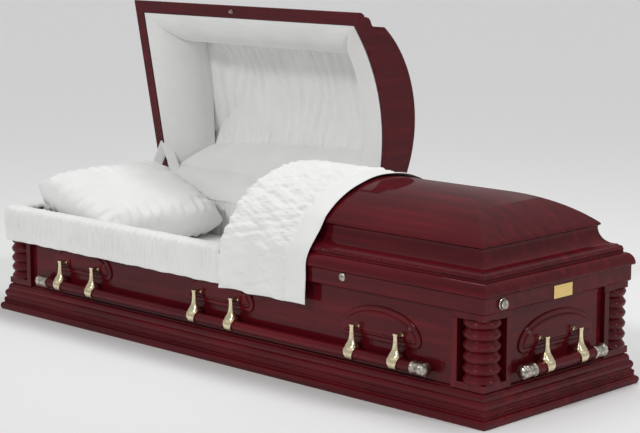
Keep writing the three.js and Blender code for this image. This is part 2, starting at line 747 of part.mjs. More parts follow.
function bodyLining() {
  const inner = WALL_INSIDE + LINING;
  const outer = WALL_INSIDE + GAP * 2;
  const bottom = BOARD + GAP * 2;
  const stations = insideOutline(0).map((_, index) => (inset, z) =>
    new THREE.Vector3(...insideOutline(inset)[index], z));
  return sweep([[outer, bottom], [inner, bottom], [inner, RAIL_TOP], [outer, RAIL_TOP]], stations, true);
}

function bed() {
  const side = HALF_WIDTH - WALL_INSIDE - LINING - CLOTH_GAP;
  const end = HALF_LENGTH - POST_INSET - POST_SIDE - LINING - BED_END_SPACE;
  return boxBetween([-end, -side, BOARD + CLOTH_GAP], [end, side, BED_TOP]);
}

// Plump pillow: a ball drawn out to a cushion, leaning on the head end
function pillow() {
  const halves = [PILLOW_LENGTH / 2, PILLOW_WIDTH / 2, PILLOW_THICK / 2];
  const power = 3;
  const ball = new THREE.IcosahedronGeometry(1, 3);
  ball.deleteAttribute('normal');
  ball.deleteAttribute('uv');
  const merged = mergeVertices(ball, 1e-4);
  const position = merged.attributes.position;
  const point = new THREE.Vector3();
  for (let i = 0; i < position.count; i++) {
    point.fromBufferAttribute(position, i);
    const sum = point.toArray().reduce((total, value) => total + Math.abs(value) ** power, 0);
    point.multiplyScalar(sum ** (-1 / power));
    position.setXYZ(i, ...point.toArray().map((value, axis) => value * halves[axis]));
  }
  merged.rotateY(PILLOW_TILT);
  merged.computeBoundingBox();
  merged.translate(PILLOW_FROM_END - HALF_LENGTH, 0, BED_TOP + CLOTH_GAP - merged.boundingBox.min.z);
  return merged;
}

function bedding() {
  piece('body_lining', bodyLining(), cloth);
  piece('bed_mattress', bed(), cloth);
  piece('pillow', pillow(), cloth);
  piece('apron', apron(), cloth);
}

base();
walls();
topRail();
cornersOfBody();

const front = sideFrame(0, -HALF_WIDTH, 0);
const foot = sideFrame(HALF_LENGTH, 0, 1);
const back = sideFrame(0, HALF_WIDTH, 2);
const head = sideFrame(-HALF_LENGTH, 0, 3);
const pairs = [-PAIR_SPACING, 0, PAIR_SPACING];
handles('front', front, SIDE_BAR_HALF, PLAQUE_HALF, pairs, ARM_SPREAD);
handles('back', back, SIDE_BAR_HALF, PLAQUE_HALF, pairs, ARM_SPREAD);
handles('head', head, END_BAR_HALF, END_PLAQUE_HALF, [0], END_ARM_SPREAD);
handles('foot', foot, END_BAR_HALF, END_PLAQUE_HALF, [0], END_ARM_SPREAD);
railFittings(front, foot);

bedding();
piece('hinge_body_leaf', bodyLeaf(), brass);
const headLid = lidFrame(OPEN_ANGLE);
const footLid = lidFrame(0);
lidPieces('head', -1, headLid);
lidPieces('foot', 1, footLid);
piece('overlay_cloth', overlayCloth(), cloth, footLid);

export default casket;
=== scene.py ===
import math
import bmesh
import bpy
import numpy as np
from mathutils import Euler, Matrix, Vector


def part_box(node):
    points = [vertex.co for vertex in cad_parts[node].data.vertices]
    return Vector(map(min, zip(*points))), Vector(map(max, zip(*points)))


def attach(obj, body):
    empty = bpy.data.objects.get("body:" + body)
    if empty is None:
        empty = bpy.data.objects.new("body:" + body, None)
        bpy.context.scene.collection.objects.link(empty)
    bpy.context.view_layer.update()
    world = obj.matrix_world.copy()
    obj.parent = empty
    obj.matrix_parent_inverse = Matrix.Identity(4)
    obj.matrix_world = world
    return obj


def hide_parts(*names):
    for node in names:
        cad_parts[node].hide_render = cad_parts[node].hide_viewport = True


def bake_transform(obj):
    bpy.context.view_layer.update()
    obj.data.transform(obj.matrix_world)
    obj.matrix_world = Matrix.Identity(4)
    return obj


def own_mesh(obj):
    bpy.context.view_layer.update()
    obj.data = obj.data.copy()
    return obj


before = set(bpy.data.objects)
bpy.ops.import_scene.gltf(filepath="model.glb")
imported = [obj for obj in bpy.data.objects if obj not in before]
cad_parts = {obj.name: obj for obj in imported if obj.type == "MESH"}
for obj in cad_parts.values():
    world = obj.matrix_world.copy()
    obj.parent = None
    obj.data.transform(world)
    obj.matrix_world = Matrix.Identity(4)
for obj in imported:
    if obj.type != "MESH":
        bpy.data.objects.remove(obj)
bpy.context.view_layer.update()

# A half-couch hardwood casket, head lid open and foot lid closed. Metres, in the frame of the model:
# +X is the foot end, -Y the front, +Y the hinge side. An inset is measured in from the base outline.
MM = 0.001
base_low, base_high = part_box("base_moulding")
HALF_LENGTH = round(base_high.x, 3)
HALF_WIDTH = round(base_high.y, 3)

PANEL_INSET = 40 * MM
RAIL_TOP = 349.6 * MM
RAIL_INSET = 22 * MM
WALL_INSIDE = 58 * MM
SEAT = 350 * MM
SPLIT = 33 * MM
SPLIT_GAP = 2 * MM
LIP_INSET = 13.3 * MM
SEAT_BORDER = 41 * MM
HEADER = 18 * MM
CROWN_EDGE_INSET = 85.4 * MM
CROWN_EDGE_Z = 469 * MM
CROWN_RISE = 100.4 * MM
CROWN_THICK = 14 * MM
BAR_INSET = 10 * MM
BAR_HEIGHT = 127 * MM
BAR_RADIUS = 15 * MM
TIP_LENGTH = 58 * MM
TIP_RADIUS = 20 * MM
PLAQUE_THICK = 10 * MM
PLAQUE_CORNER = 22 * MM
ARM_TOP = 209 * MM
ROLL_START = 57 * MM
BED_TOP = 228 * MM
LINING_ROLL = 129 * MM
LINING_DEPTH = 133 * MM
HEADER_ARCH = 77 * MM
APRON_STOP = 29 * MM
OVERLAY_START = 34 * MM
OVERLAY_END = 400 * MM
ROPE_PITCH = 9.5 * MM
ROPE_SLANT = 0.35
BEAD_RINGS = 5
BEAD_SIDES = 8
HINGE = Vector((0, HALF_WIDTH + 11.5 * MM, 334.5 * MM))
OPEN_ANGLE = math.radians(79.83)
crown_half_span = HALF_WIDTH - CROWN_EDGE_INSET
crown_radius = (crown_half_span ** 2 + CROWN_RISE ** 2) / (2 * CROWN_RISE)
crown_centre = CROWN_EDGE_Z + CROWN_RISE - crown_radius


# Camera and studio
def make_camera():
    data = bpy.data.cameras.new("camera")
    data.sensor_width = 36
    data.lens = 103.7
    data.clip_end = 100
    camera = bpy.data.objects.new("camera", data)
    bpy.context.collection.objects.link(camera)
    camera.location = (4.0219, -3.9852, 1.3704)
    camera.rotation_euler = Euler((math.radians(80.30), 0, math.radians(44.40)))
    bpy.context.scene.camera = camera


def area_light(name, place, target, size, power):
    data = bpy.data.lights.new(name, "AREA")
    data.shape = "RECTANGLE"
    data.size, data.size_y = size
    data.energy = power
    light = bpy.data.objects.new(name, data)
    bpy.context.collection.objects.link(light)
    light.location = place
    light.rotation_euler = (Vector(target) - Vector(place)).to_track_quat("-Z", "Y").to_euler()


def sun_lamp(name, toward, strength):
    data = bpy.data.lights.new(name, "SUN")
    data.energy = strength
    data.angle = math.radians(9)
    lamp = bpy.data.objects.new(name, data)
    bpy.context.collection.objects.link(lamp)
    lamp.rotation_euler = Vector(toward).to_track_quat("Z", "Y").to_euler()


def make_studio():
    world = bpy.data.worlds.new("studio")
    bpy.context.scene.world = world
    world.use_nodes = True
    background = world.node_tree.nodes["Background"]
    background.inputs["Color"].default_value = (1, 1, 1, 1)
    background.inputs["Strength"].default_value = 0.46
    sun_lamp("front_lamp", (-0.05, -1.0, 0.70), 0.92)
    sun_lamp("foot_lamp", (1.0, 0.30, 0.80), 0.50)
    area_light("top", (0.3, 0.7, 3.4), (0, 0, 0.4), (3.0, 0.4), 40)
    bpy.context.scene.view_settings.view_transform = "Standard"
    bpy.ops.mesh.primitive_plane_add(size=120, location=(0, 0, 0))
    floor = bpy.context.object
    floor.name = "floor"
    shader = new_material("floor_white")
    set_shader(shader, base=(0.86, 0.86, 0.86), roughness=0.9, specular=0.1)
    floor.data.materials.append(shader)


# Materials
def new_material(name):
    material = bpy.data.materials.new(name)
    material.use_nodes = True
    return material


def principled(material):
    return material.node_tree.nodes["Principled BSDF"]


def set_shader(material, base=None, roughness=None, specular=None, metallic=None, coat=None, sheen=None):
    shader = principled(material)
    if base is not None:
        shader.inputs["Base Color"].default_value = (*base, 1)
    if roughness is not None:
        shader.inputs["Roughness"].default_value = roughness
    if specular is not None:
        shader.inputs["Specular IOR Level"].default_value = specular
    if metallic is not None:
        shader.inputs["Metallic"].default_value = metallic
    if coat is not None:
        shader.inputs["Coat Weight"].default_value = coat[0]
        shader.inputs["Coat Roughness"].default_value = coat[1]
    if sheen is not None:
        shader.inputs["Sheen Weight"].default_value = sheen[0]
        shader.inputs["Sheen Roughness"].default_value = sheen[1]
    return shader


def node(material, kind, **inputs):
    made = material.node_tree.nodes.new(kind)
    for key, value in inputs.items():
        made.inputs[key.replace("_", " ")].default_value = value
    return made


def link(material, source, target):
    material.node_tree.links.new(source, target)


def object_coordinates(material, scale):
    coordinates = node(material, "ShaderNodeTexCoord")
    mapping = node(material, "ShaderNodeMapping", Scale=scale)
    link(material, coordinates.outputs["Object"], mapping.inputs["Vector"])
    return mapping.outputs["Vector"]


def colour_ramp(material, factor, stops):
    ramp = node(material, "ShaderNodeValToRGB")
    elements = ramp.color_ramp.elements
    while len(elements) < len(stops):
        elements.new(0.5)
    for element, (position, colour) in zip(elements, stops):
        element.position = position
        element.color = (*colour, 1)
    link(material, factor, ramp.inputs["Fac"])
    return ramp.outputs["Color"]


def add_bump(material, height, strength, distance):
    bump = node(material, "ShaderNodeBump", Strength=strength, Distance=distance)
    link(material, height, bump.inputs["Height"])
    link(material, bump.outputs["Normal"], principled(material).inputs["Normal"])


def vary_polish(material, factor, roughness, spread):
    """Roughness that runs from roughness + spread where the factor is low to roughness where it is high."""
    polish = node(material, "ShaderNodeMapRange", From_Min=0.3, From_Max=0.7, To_Min=roughness + spread,
                  To_Max=roughness)
    link(material, factor, polish.inputs["Value"])
    link(material, polish.outputs["Result"], principled(material).inputs["Roughness"])


def lacquered_wood(name, grain):
    """Dark cherry under thick clear lacquer. grain is the axis that the grain runs along."""
    material = new_material(name)
    set_shader(material, roughness=0.5, specular=0.02, coat=(0.42, 0.03))
    scale = [34.0, 34.0, 34.0]
    scale["xyz".index(grain)] = 1.6
    vector = object_coordinates(material, scale)
    streaks = node(material, "ShaderNodeTexNoise", Scale=1.0, Detail=6.0, Roughness=0.6, Distortion=0.35)
    link(material, vector, streaks.inputs["Vector"])
    clouds = node(material, "ShaderNodeTexNoise", Scale=2.6, Detail=2.0, Roughness=0.5)
    link(material, object_coordinates(material, (1, 1, 1)), clouds.inputs["Vector"])
    mixed = node(material, "ShaderNodeMath")
    mixed.operation = "MULTIPLY_ADD"
    mixed.inputs[1].default_value = 0.4
    link(material, clouds.outputs["Fac"], mixed.inputs[0])
    link(material, streaks.outputs["Fac"], mixed.inputs[2])
    stops = [
        (0.40, (0.044, 0.0022, 0.0048)),
        (0.75, (0.088, 0.0038, 0.0076)),
        (1.00, (0.145, 0.0060, 0.0105)),
    ]
    link(material, colour_ramp(material, mixed.outputs[0], stops), principled(material).inputs["Base Color"])
    return material


def cast_metal(name, colour, dark, roughness):
    """Cast and rubbed metal: darker in patches, with small changes of polish."""
    material = new_material(name)
    set_shader(material, metallic=1.0, specular=0.5)
    vector = object_coordinates(material, (1, 1, 1))
    patches = node(material, "ShaderNodeTexNoise", Scale=90.0, Detail=4.0, Roughness=0.6)
    link(material, vector, patches.inputs["Vector"])
    shade = colour_ramp(material, patches.outputs["Fac"], [(0.35, dark), (0.62, colour)])
    link(material, shade, principled(material).inputs["Base Color"])
    vary_polish(material, patches.outputs["Fac"], roughness, 0.1)
    fine = node(material, "ShaderNodeTexNoise", Scale=420.0, Detail=2.0)
    link(material, vector, fine.inputs["Vector"])
    add_bump(material, fine.outputs["Fac"], 0.12, 0.0004)
    return material


def brushed_metal(name, colour, roughness):
    """Polished plate with faint level brushing."""
    material = new_material(name)
    set_shader(material, metallic=1.0)
    lines = node(material, "ShaderNodeTexNoise", Scale=1.0, Detail=4.0, Roughness=0.6)
    link(material, object_coordinates(material, (30.0, 30.0, 700.0)), lines.inputs["Vector"])
    shade = [channel * 0.9 for channel in colour]
    tone = colour_ramp(material, lines.outputs["Fac"], [(0.35, shade), (0.65, colour)])
    link(material, tone, principled(material).inputs["Base Color"])
    vary_polish(material, lines.outputs["Fac"], roughness, 0.06)
    return material


def white_cloth(name, colour, crease=34.0, crease_depth=0.0012):
    """Soft white cloth with a fine weave and shallow creases."""
    material = new_material(name)
    set_shader(material, roughness=0.9, specular=0.15, sheen=(0.35, 0.5))
    vector = object_coordinates(material, (1, 1, 1))
    mottle = node(material, "ShaderNodeTexNoise", Scale=9.0, Detail=3.0)
    link(material, vector, mottle.inputs["Vector"])
    shade = [channel * 0.955 for channel in colour]
    mottled = colour_ramp(material, mottle.outputs["Fac"], [(0.35, shade), (0.65, colour)])
    link(material, mottled, principled(material).inputs["Base Color"])
    threads = node(material, "ShaderNodeTexNoise", Scale=900.0, Detail=1.0)
    link(material, vector, threads.inputs["Vector"])
    creases = node(material, "ShaderNodeTexNoise", Scale=crease, Detail=3.0, Roughness=0.55)
    link(material, vector, creases.inputs["Vector"])
    total = node(material, "ShaderNodeMath")
    total.operation = "MULTIPLY_ADD"
    total.inputs[1].default_value = 0.12
    link(material, threads.outputs["Fac"], total.inputs[0])
    link(material, creases.outputs["Fac"], total.inputs[2])
    add_bump(material, total.outputs[0], 0.5, crease_depth)
    return material


# Meshes
def mesh_piece(name, points, faces, material, body=None, sharp=32.0):
    mesh = bpy.data.meshes.new(name)
    mesh.from_pydata([tuple(p) for p in points], [], [tuple(int(i) for i in f) for f in faces])
    work = bmesh.new()
    work.from_mesh(mesh)
    bmesh.ops.remove_doubles(work, verts=work.verts, dist=1e-6)
    bmesh.ops.dissolve_degenerate(work, edges=work.edges, dist=1e-7)
    bmesh.ops.recalc_face_normals(work, faces=work.faces)
    work.to_mesh(mesh)
    work.free()
    mesh.shade_smooth()
    mesh.set_sharp_from_angle(angle=math.radians(sharp))
    piece = bpy.data.objects.new(name, mesh)
    bpy.context.collection.objects.link(piece)
    mesh.materials.append(material)
    if body:
        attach(piece, body)
    return piece


def corner(end_sign, side_sign):
    return lambda inset, z: (end_sign * (HALF_LENGTH - inset), side_sign * (HALF_WIDTH - inset), z)


def across_side(x, side_sign):
    return lambda inset, z: (x, side_sign * (HALF_WIDTH - inset), z)


def across_end(y, end_sign):
    return lambda inset, z: (end_sign * (HALF_LENGTH - inset), y, z)


ALL_ROUND = [corner(-1, -1), corner(1, -1), corner(1, 1), corner(-1, 1)]


def ring_faces(rows, count, first=0, closed=False):
    """Faces between neighbouring rows of count points, each row closed on itself. Closed joins the last
    row to the first."""
    faces = []
    for i in range(rows if closed else rows - 1):
        here, there = first + i * count, first + (i + 1) % rows * count
        for k in range(count):
            m = (k + 1) % count
            faces.append((here + k, here + m, there + m, there + k))
    return faces


def capped_faces(rows, count, first=0):
    """Faces between the rows, and one over each end."""
    last = first + (rows - 1) * count
    ends = [tuple(range(first, first + count)), tuple(range(last, last + count))]
    return ring_faces(rows, count, first) + ends


def sweep(profile, stations, closed=False):
    """Points and faces of a profile of (inset, z) carried through stations. The edge on the middle line
    of the object, where the two sides meet, gets no face."""
    rows = [[station(inset, z) for inset, z in profile] for station in stations]
    count = len(profile)
    points = [p for row in rows for p in row]
    faces = []
    last = len(rows) if closed else len(rows) - 1
    for s in range(last):
        t = (s + 1) % len(rows)
        for i in range(count):
            j = (i + 1) % count
            if min(profile[i][0], profile[j][0]) > HALF_WIDTH - 1e-6:
                continue
            faces.append((s * count + i, s * count + j, t * count + j, t * count + i))
    if not closed:
        faces.append(tuple(range(count)))
        faces.append(tuple((len(rows) - 1) * count + i for i in range(count)))
    return points, faces


def arc(centre, radii, start, end, steps):
    angles = np.radians(np.linspace(start, end, steps + 1))
    return [(centre[0] + radii[0] * math.cos(a), centre[1] + radii[1] * math.sin(a)) for a in angles]


def millimetres(points):
    return [(u * MM, v * MM) for u, v in points]


def lathe(outline, sides, axis="z", centre=(0, 0, 0)):
    """Points and faces of (radius, height) turned about an axis through centre, closed at both ends."""
    points = []
    for radius, height in outline:
        for k in range(sides):
            angle = 2 * math.pi * k / sides
            u, v = radius * math.cos(angle), radius * math.sin(angle)
            place = {"z": (u, v, height), "x": (height, u, v), "y": (v, height, u)}[axis]
            points.append(tuple(a + b for a, b in zip(place, centre)))
    return points, capped_faces(len(outline), sides)


def side_place(side):
    """Turns (along, inset, z) on a side into the frame."""
    return {
        "front": lambda a, i, z: (a, i - HALF_WIDTH, z),
        "back": lambda a, i, z: (-a, HALF_WIDTH - i, z),
        "foot": lambda a, i, z: (HALF_LENGTH - i, a, z),
        "head": lambda a, i, z: (i - HALF_LENGTH, -a, z),
    }[side]


def middle_along(name, side):
    """Where the middle of a node lies along its side."""
    low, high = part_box(name)
    middle = (low + high) / 2
    return {"front": middle.x, "back": -middle.x, "foot": middle.y, "head": -middle.y}[side]


def opened(points):
    """Points of the closed head lid, turned to where the open lid stands."""
    turn = Matrix.Rotation(-OPEN_ANGLE, 3, "X")
    return [turn @ (Vector(p) - HINGE) + HINGE for p in points]


# Wood
def base_profile():
    return millimetres([(39.7, 0), (4, 0)] + arc((8, 11.5), (8, 11), 215, 110, 12)
                       + [(10.5, 24.5), (9.8, 28.5)]
                       + arc((13.8, 35), (4.2, 5.5), 235, 125, 6) + [(15.7, 43), (15.9, 45)]
                       + arc((24, 56), (11.8, 14), 200, 105, 10) + [(20.8, 71), (20.8, 73.5)]
                       + arc((32, 73.5), (11, 16), 180, 95, 8) + [(32, 92), (39.7, 92)])


def shell_profile():
    def crown(start, depth, steps):
        result = []
        for inset in np.linspace(start, HALF_WIDTH / MM, steps + 1) * MM:
            rise = math.sqrt((crown_radius - depth) ** 2 - (HALF_WIDTH - inset) ** 2)
            result.append((inset if inset < HALF_WIDTH - 1e-7 else HALF_WIDTH, crown_centre + rise))
        return result

    outer = millimetres([(14.5, 350)] + arc((37, 350.5), (23.7, 34.5), 178, 90, 12) + [(38.5, 385.5)]
                        + arc((42, 394), (3.4, 5.5), 230, 130, 6) + [(41, 400.5), (41, 403), (50, 407)]
                        + arc((50, 459), (42, 50), 270, 352, 12) + [(92, 456), (92, 460.5), (88.2, 463.5)]
                        + arc((89, 466.5), (3.5, 3), 250, 150, 4))
    inner = millimetres([(112, 459), (112, 450), (74, 402), (54.3, 372), (54.3, 350)])
    return outer + crown(88.5, 0, 40) + crown(112, CROWN_THICK, 16)[::-1] + inner


def lid_shell(name, end_sign, body, material):
    split = SPLIT + end_sign * SPLIT_GAP / 2
    ends = [across_side(split, -1), corner(end_sign, -1), corner(end_sign, 1), across_side(split, 1)]
    points, faces = sweep(shell_profile(), ends)
    if end_sign < 0:
        points = opened(points)
    piece = mesh_piece(name, points, faces, material, body, sharp=28)
    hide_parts(name.replace("_wood", ""))


def rope(name, runs, inset, z, radii, body, wood):
    """Row of small slanted beads, as a carved rope. Each run is (place, start, end) along a side, and radii
    are those of a bead along the rope, out and up."""
    points, faces = [], []
    for place, start, end in runs:
        count = int(round((end - start) / ROPE_PITCH))
        step = (end - start) / count
        for k in range(count):
            middle = start + (k + 0.5) * step
            faces += capped_faces(BEAD_RINGS + 1, BEAD_SIDES, len(points))
            for i in range(BEAD_RINGS + 1):
                lift = -1 + 2 * i / BEAD_RINGS
                ring = math.sqrt(max(1 - lift * lift, 0.0)) * 0.98 + 0.02
                for j in range(BEAD_SIDES):
                    angle = 2 * math.pi * j / BEAD_SIDES
                    along = radii[0] * ring * math.cos(angle) + ROPE_SLANT * lift * radii[2]
                    out = radii[1] * ring * math.sin(angle)
                    points.append(place(middle + along, inset - out, z + radii[2] * lift))
    if body == "head_lid":
        points = opened(points)
    beads = mesh_piece(name, points, faces, wood, body, sharp=80)


def base_and_rope(wood):
    points, faces = sweep(base_profile(), ALL_ROUND, closed=True)
    piece = mesh_piece("base_moulding_wood", points, faces, wood, "casket", sharp=28)
    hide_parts("base_moulding")
    inset, z = 10.6 * MM, 35 * MM
    runs = []
    for side in ("front", "back", "foot", "head"):
        half = HALF_LENGTH if side in ("front", "back") else HALF_WIDTH
        runs.append((side_place(side), inset - half, half - inset))
    rope("base_rope", runs, inset, z, (4.4 * MM, 3.6 * MM, 5.4 * MM), "casket", wood)


def lid_rope(name, end_sign, body, wood):
    inset, z = 40 * MM, 394.3 * MM
    split = SPLIT + end_sign * SPLIT_GAP
    far = HALF_LENGTH - inset
    end_side = "foot" if end_sign > 0 else "head"
    near, last = (split, far) if end_sign > 0 else (-far, split)
    runs = [
        (side_place("front"), near, last),
        (side_place("back"), -last, -near),
        (side_place(end_side), inset - HALF_WIDTH, HALF_WIDTH - inset),
    ]
    rope(name, runs, inset, z, (4.3 * MM, 3.6 * MM, 5.6 * MM), body, wood)


def column(name, wood):
    """Turned corner column: a row of rings, each full below and drawn in above."""
    low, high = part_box(name)
    pitch, first, neck, ring = 31.3 * MM, 119 * MM, 41.5 * MM, 51.5 * MM
    outline = [(0.0001, low.z)]
    for z in np.linspace(low.z, high.z, 168):
        share = ((z - first) / pitch + 0.5) % 1 - 0.5
        if share < 0.02:
            swell = math.cos((share - 0.02) / 0.52 * math.pi / 2) ** 0.55
        else:
            swell = max(1 - (share - 0.02) / 0.44, 0.0) ** 0.9
        outline.append((neck + (ring - neck) * swell, z))
    outline.append((0.0001, high.z))
    centre = ((low.x + high.x) / 2, (low.y + high.y) / 2, 0)
    points, faces = lathe(outline, 56, "z", centre)
    piece = mesh_piece(name + "_turned", points, faces, wood, "casket", sharp=50)
    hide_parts(name)


def headed(name):
    """Whether the grain of a part runs across the casket."""
    return name.endswith("_head") or name.endswith("_foot") or "header" in name


def soften_edges(name, width, segments=2):
    """Rounds the arrises of a CAD piece without changing its mesh."""
    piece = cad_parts[name]
    bevel = piece.modifiers.new("arris", "BEVEL")
    bevel.width = width
    bevel.segments = segments
    bevel.limit_method = "ANGLE"
    bevel.angle_limit = math.radians(35)


def dress(name, material):
    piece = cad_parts[name]
    piece.data.materials.clear()
    piece.data.materials.append(material)


# Metalwork and plaques
def plaque_outline(half, drawn_in):
    """Flat below, round lower corners and an elliptical arch, drawn in by a distance."""
    bottom, height = 168 * MM, 100 * MM
    radius = max(PLAQUE_CORNER - drawn_in, 2 * MM)
    shoulder = bottom + PLAQUE_CORNER
    low = bottom + drawn_in + radius
    return (arc((half - drawn_in - radius, low), (radius, radius), 270, 345, 5)
            + arc((0, shoulder), (half - drawn_in, height - PLAQUE_CORNER - drawn_in), 0, 180, 44)
            + arc((drawn_in + radius - half, low), (radius, radius), 195, 270, 5))


def plaque(name, material):
    """Raised panel with a double step round a flat field."""
    steps = millimetres([(0, 39.7), (0, 37), (0.8, 35.6), (2.4, 34.9), (10, 34.4), (12.5, 34.9), (13.8, 34.2),
                         (14.8, 32.2), (16.4, 30.8), (18.6, 30.1), (22, 30)])
    side = name.split("_")[1]
    low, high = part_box(name)
    half = max(high.x - low.x, high.y - low.y) / 2
    place, along = side_place(side), middle_along(name, side)
    rows = [[place(along + u, inset, z) for u, z in plaque_outline(half, drawn)] for drawn, inset in steps]
    points = [p for row in rows for p in row]
    faces = capped_faces(len(rows), len(rows[0]))
    piece = mesh_piece(name + "_carved", points, faces, material, "casket", sharp=42)
    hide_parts(name)


def arm_neck(sides=28):
    """Rows of (along, inset, z) from the top of an arm down into its band, with a hollowed collar."""
    heights = [82, 81.4, 78, 75, 70, 58, 46, 38, 31, 25, 20, 16, 8, 0]
    depths = [5.6, 6.8, 7.2, 6.0, 5.4, 5.6, 6.4, 8.0, 11.0, 15.0, 18.4, 19.2, 17.0, 12.0]
    widths = [7.4, 8.6, 8.8, 7.6, 7.0, 7.3, 8.8, 11.2, 14.6, 18.2, 20.6, 20.0, 15.0, 12.0]
    hollows = [0, 0, 0, 0, 0, 0, 0.04, 0.16, 0.26, 0.24, 0.12, 0.04, 0, 0]
    rows = []
    for height, depth, width, hollow in zip(heights, depths, widths, hollows):
        row = []
        for k in range(sides):
            angle = 2 * math.pi * k / sides
            across, front = math.sin(angle), math.cos(angle)
            across = math.copysign(abs(across) ** 0.8, across)
            front = math.copysign(abs(front) ** 0.8, front) * (1 - hollow * (front > 0) * (1 - across ** 2))
            row.append((width * across * MM, BAR_INSET - depth * front * MM, BAR_HEIGHT + height * MM))
        rows.append(row)
    return rows


def arm_band(steps=36):
    """Rows of four corners round the bar: a strap that tapers to a point of its width under the bar."""
    outer, inner = BAR_RADIUS + 4.4 * MM, BAR_RADIUS + 0.4 * MM
    rows = []
    for k in range(steps):
        angle = 2 * math.pi * k / steps
        half = np.interp(math.sin(angle), [-1, -0.5, 0.2, 1], [10.5, 12.5, 17, 19.5]) * MM
        row = []
        for radius, side in ((outer, 1), (outer, -1), (inner, -1), (inner, 1)):
            inset, z = BAR_INSET - radius * math.cos(angle), BAR_HEIGHT + radius * math.sin(angle)
            row.append((side * half, inset, z))
        rows.append(row)
    return rows


def arm_stub():
    """Rows from the neck back to the plaque, the last one a small foot."""
    back = PANEL_INSET - PLAQUE_THICK - 0.3 * MM
    rows = []
    for inset, wide, tall in ((BAR_INSET, 7, 6.4), (back - 3 * MM, 7, 6.4), (back, 9.5, 7.6)):
        rows.append([(wide * MM * math.sin(a), inset, ARM_TOP - 8 * MM + tall * MM * math.cos(a))
                     for a in np.linspace(0, 2 * math.pi, 20, endpoint=False)])
    return rows


def handle_arm(name, material):
    """Cast arm: a round neck with a flared collar, a strap round the bar and a stub back to the plaque."""
    side = name.split("_")[2]
    place, along = side_place(side), middle_along(name, side)
    neck, band, stub = arm_neck(), arm_band(), arm_stub()
    points, faces = [], []
    for rows in (neck, band, stub):
        first, count = len(points), len(rows[0])
        points += [place(along + u, inset, z) for row in rows for u, inset, z in row]
        if rows is band:
            faces += ring_faces(len(rows), count, first, closed=True)
        else:
            faces += capped_faces(len(rows), count, first)
    piece = mesh_piece(name + "_cast", points, faces, material, "casket", sharp=38)
    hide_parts(name)


def handle_bar(name, wood, metal):
    """Round wooden bar with a cast ferrule on each end."""
    low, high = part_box(name)
    side = name.split("_")[2]
    half = max(high.x - low.x, high.y - low.y) / 2
    place = side_place(side)
    sides = 40
    shaft = half - TIP_LENGTH

    def turned(outline, relief):
        points = []
        for along, radius in outline:
            for k in range(sides):
                angle = 2 * math.pi * k / sides
                r = radius + relief(along, angle)
                points.append(place(along, BAR_INSET + r * math.cos(angle), BAR_HEIGHT + r * math.sin(angle)))
        return points, capped_faces(len(outline), sides)

    points, faces = turned([(a, BAR_RADIUS) for a in np.linspace(-shaft - 4 * MM, shaft + 4 * MM, 9)],
                           lambda along, angle: 0)
    rod = mesh_piece(name + "_rod", points, faces, wood, "casket", sharp=40)
    shape = [(0, 0.80), (0.01, 0.93), (0.035, 1.0), (0.07, 0.99), (0.10, 0.90), (0.13, 0.86), (0.18, 0.87),
             (0.26, 0.89), (0.34, 0.905), (0.42, 0.915), (0.50, 0.92), (0.57, 0.91), (0.62, 0.88),
             (0.65, 0.80), (0.675, 0.79), (0.70, 0.90), (0.73, 0.98), (0.77, 1.0), (0.81, 0.985),
             (0.85, 0.93), (0.885, 0.84), (0.91, 0.80), (0.94, 0.72),
             (0.96, 0.55), (0.98, 0.42), (0.995, 0.30), (1.0, 0.10)]

    def relief(along, angle):
        share = (abs(along) - shaft) / TIP_LENGTH
        scrolls = math.exp(-((share - 0.38) / 0.15) ** 2) * math.cos(6 * angle + 14 * share)
        petals = math.exp(-((share - 0.86) / 0.09) ** 2) * math.cos(10 * angle)
        return 1.1 * MM * scrolls + 0.9 * MM * petals

    for sign, end in ((-1, "a"), (1, "b")):
        outline = [(sign * (shaft + t * TIP_LENGTH), r * TIP_RADIUS) for t, r in shape]
        points, faces = turned(outline, relief)
        tip = mesh_piece(f"{name}_ferrule_{end}", points, faces, metal, "casket", sharp=60)
    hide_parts(name)


def fitting(name, side, outline, ribs, material):
    """Round fitting on the rail, turned about the line out of it. outline is (radius, height, depth of its
    ribs) in mm."""
    low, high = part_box(name)
    middle_z = (low.z + high.z) / 2
    place, along = side_place(side), middle_along(name, side)
    sides = 48
    points = []
    for radius, height, ribbed in outline:
        for k in range(sides):
            angle = 2 * math.pi * k / sides
            r = (radius + ribbed * (0.5 + 0.5 * math.cos(ribs * angle))) * MM
            points.append(place(along + r * math.cos(angle), RAIL_INSET - 0.3 * MM - height * MM,
                                middle_z + r * math.sin(angle)))
    faces = capped_faces(len(outline), sides)
    piece = mesh_piece(name + "_turned", points, faces, material, "casket", sharp=40)
    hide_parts(name)


def lid_catch(material):
    """Small catch stud on the front seat border of the head lid."""
    outline = millimetres([(0.1, 351), (4.5, 350.6), (7, 349.8), (7, 349.3), (4, 348.6), (3.6, 344.5),
                           (4.4, 343.2), (4.2, 341.6), (0.1, 340.8)])
    points, faces = lathe(outline, 20, "z", (-550 * MM, -HALF_WIDTH + 33 * MM, 0))
    piece = mesh_piece("lid_catch", opened(points), faces, material, "head_lid", sharp=40)


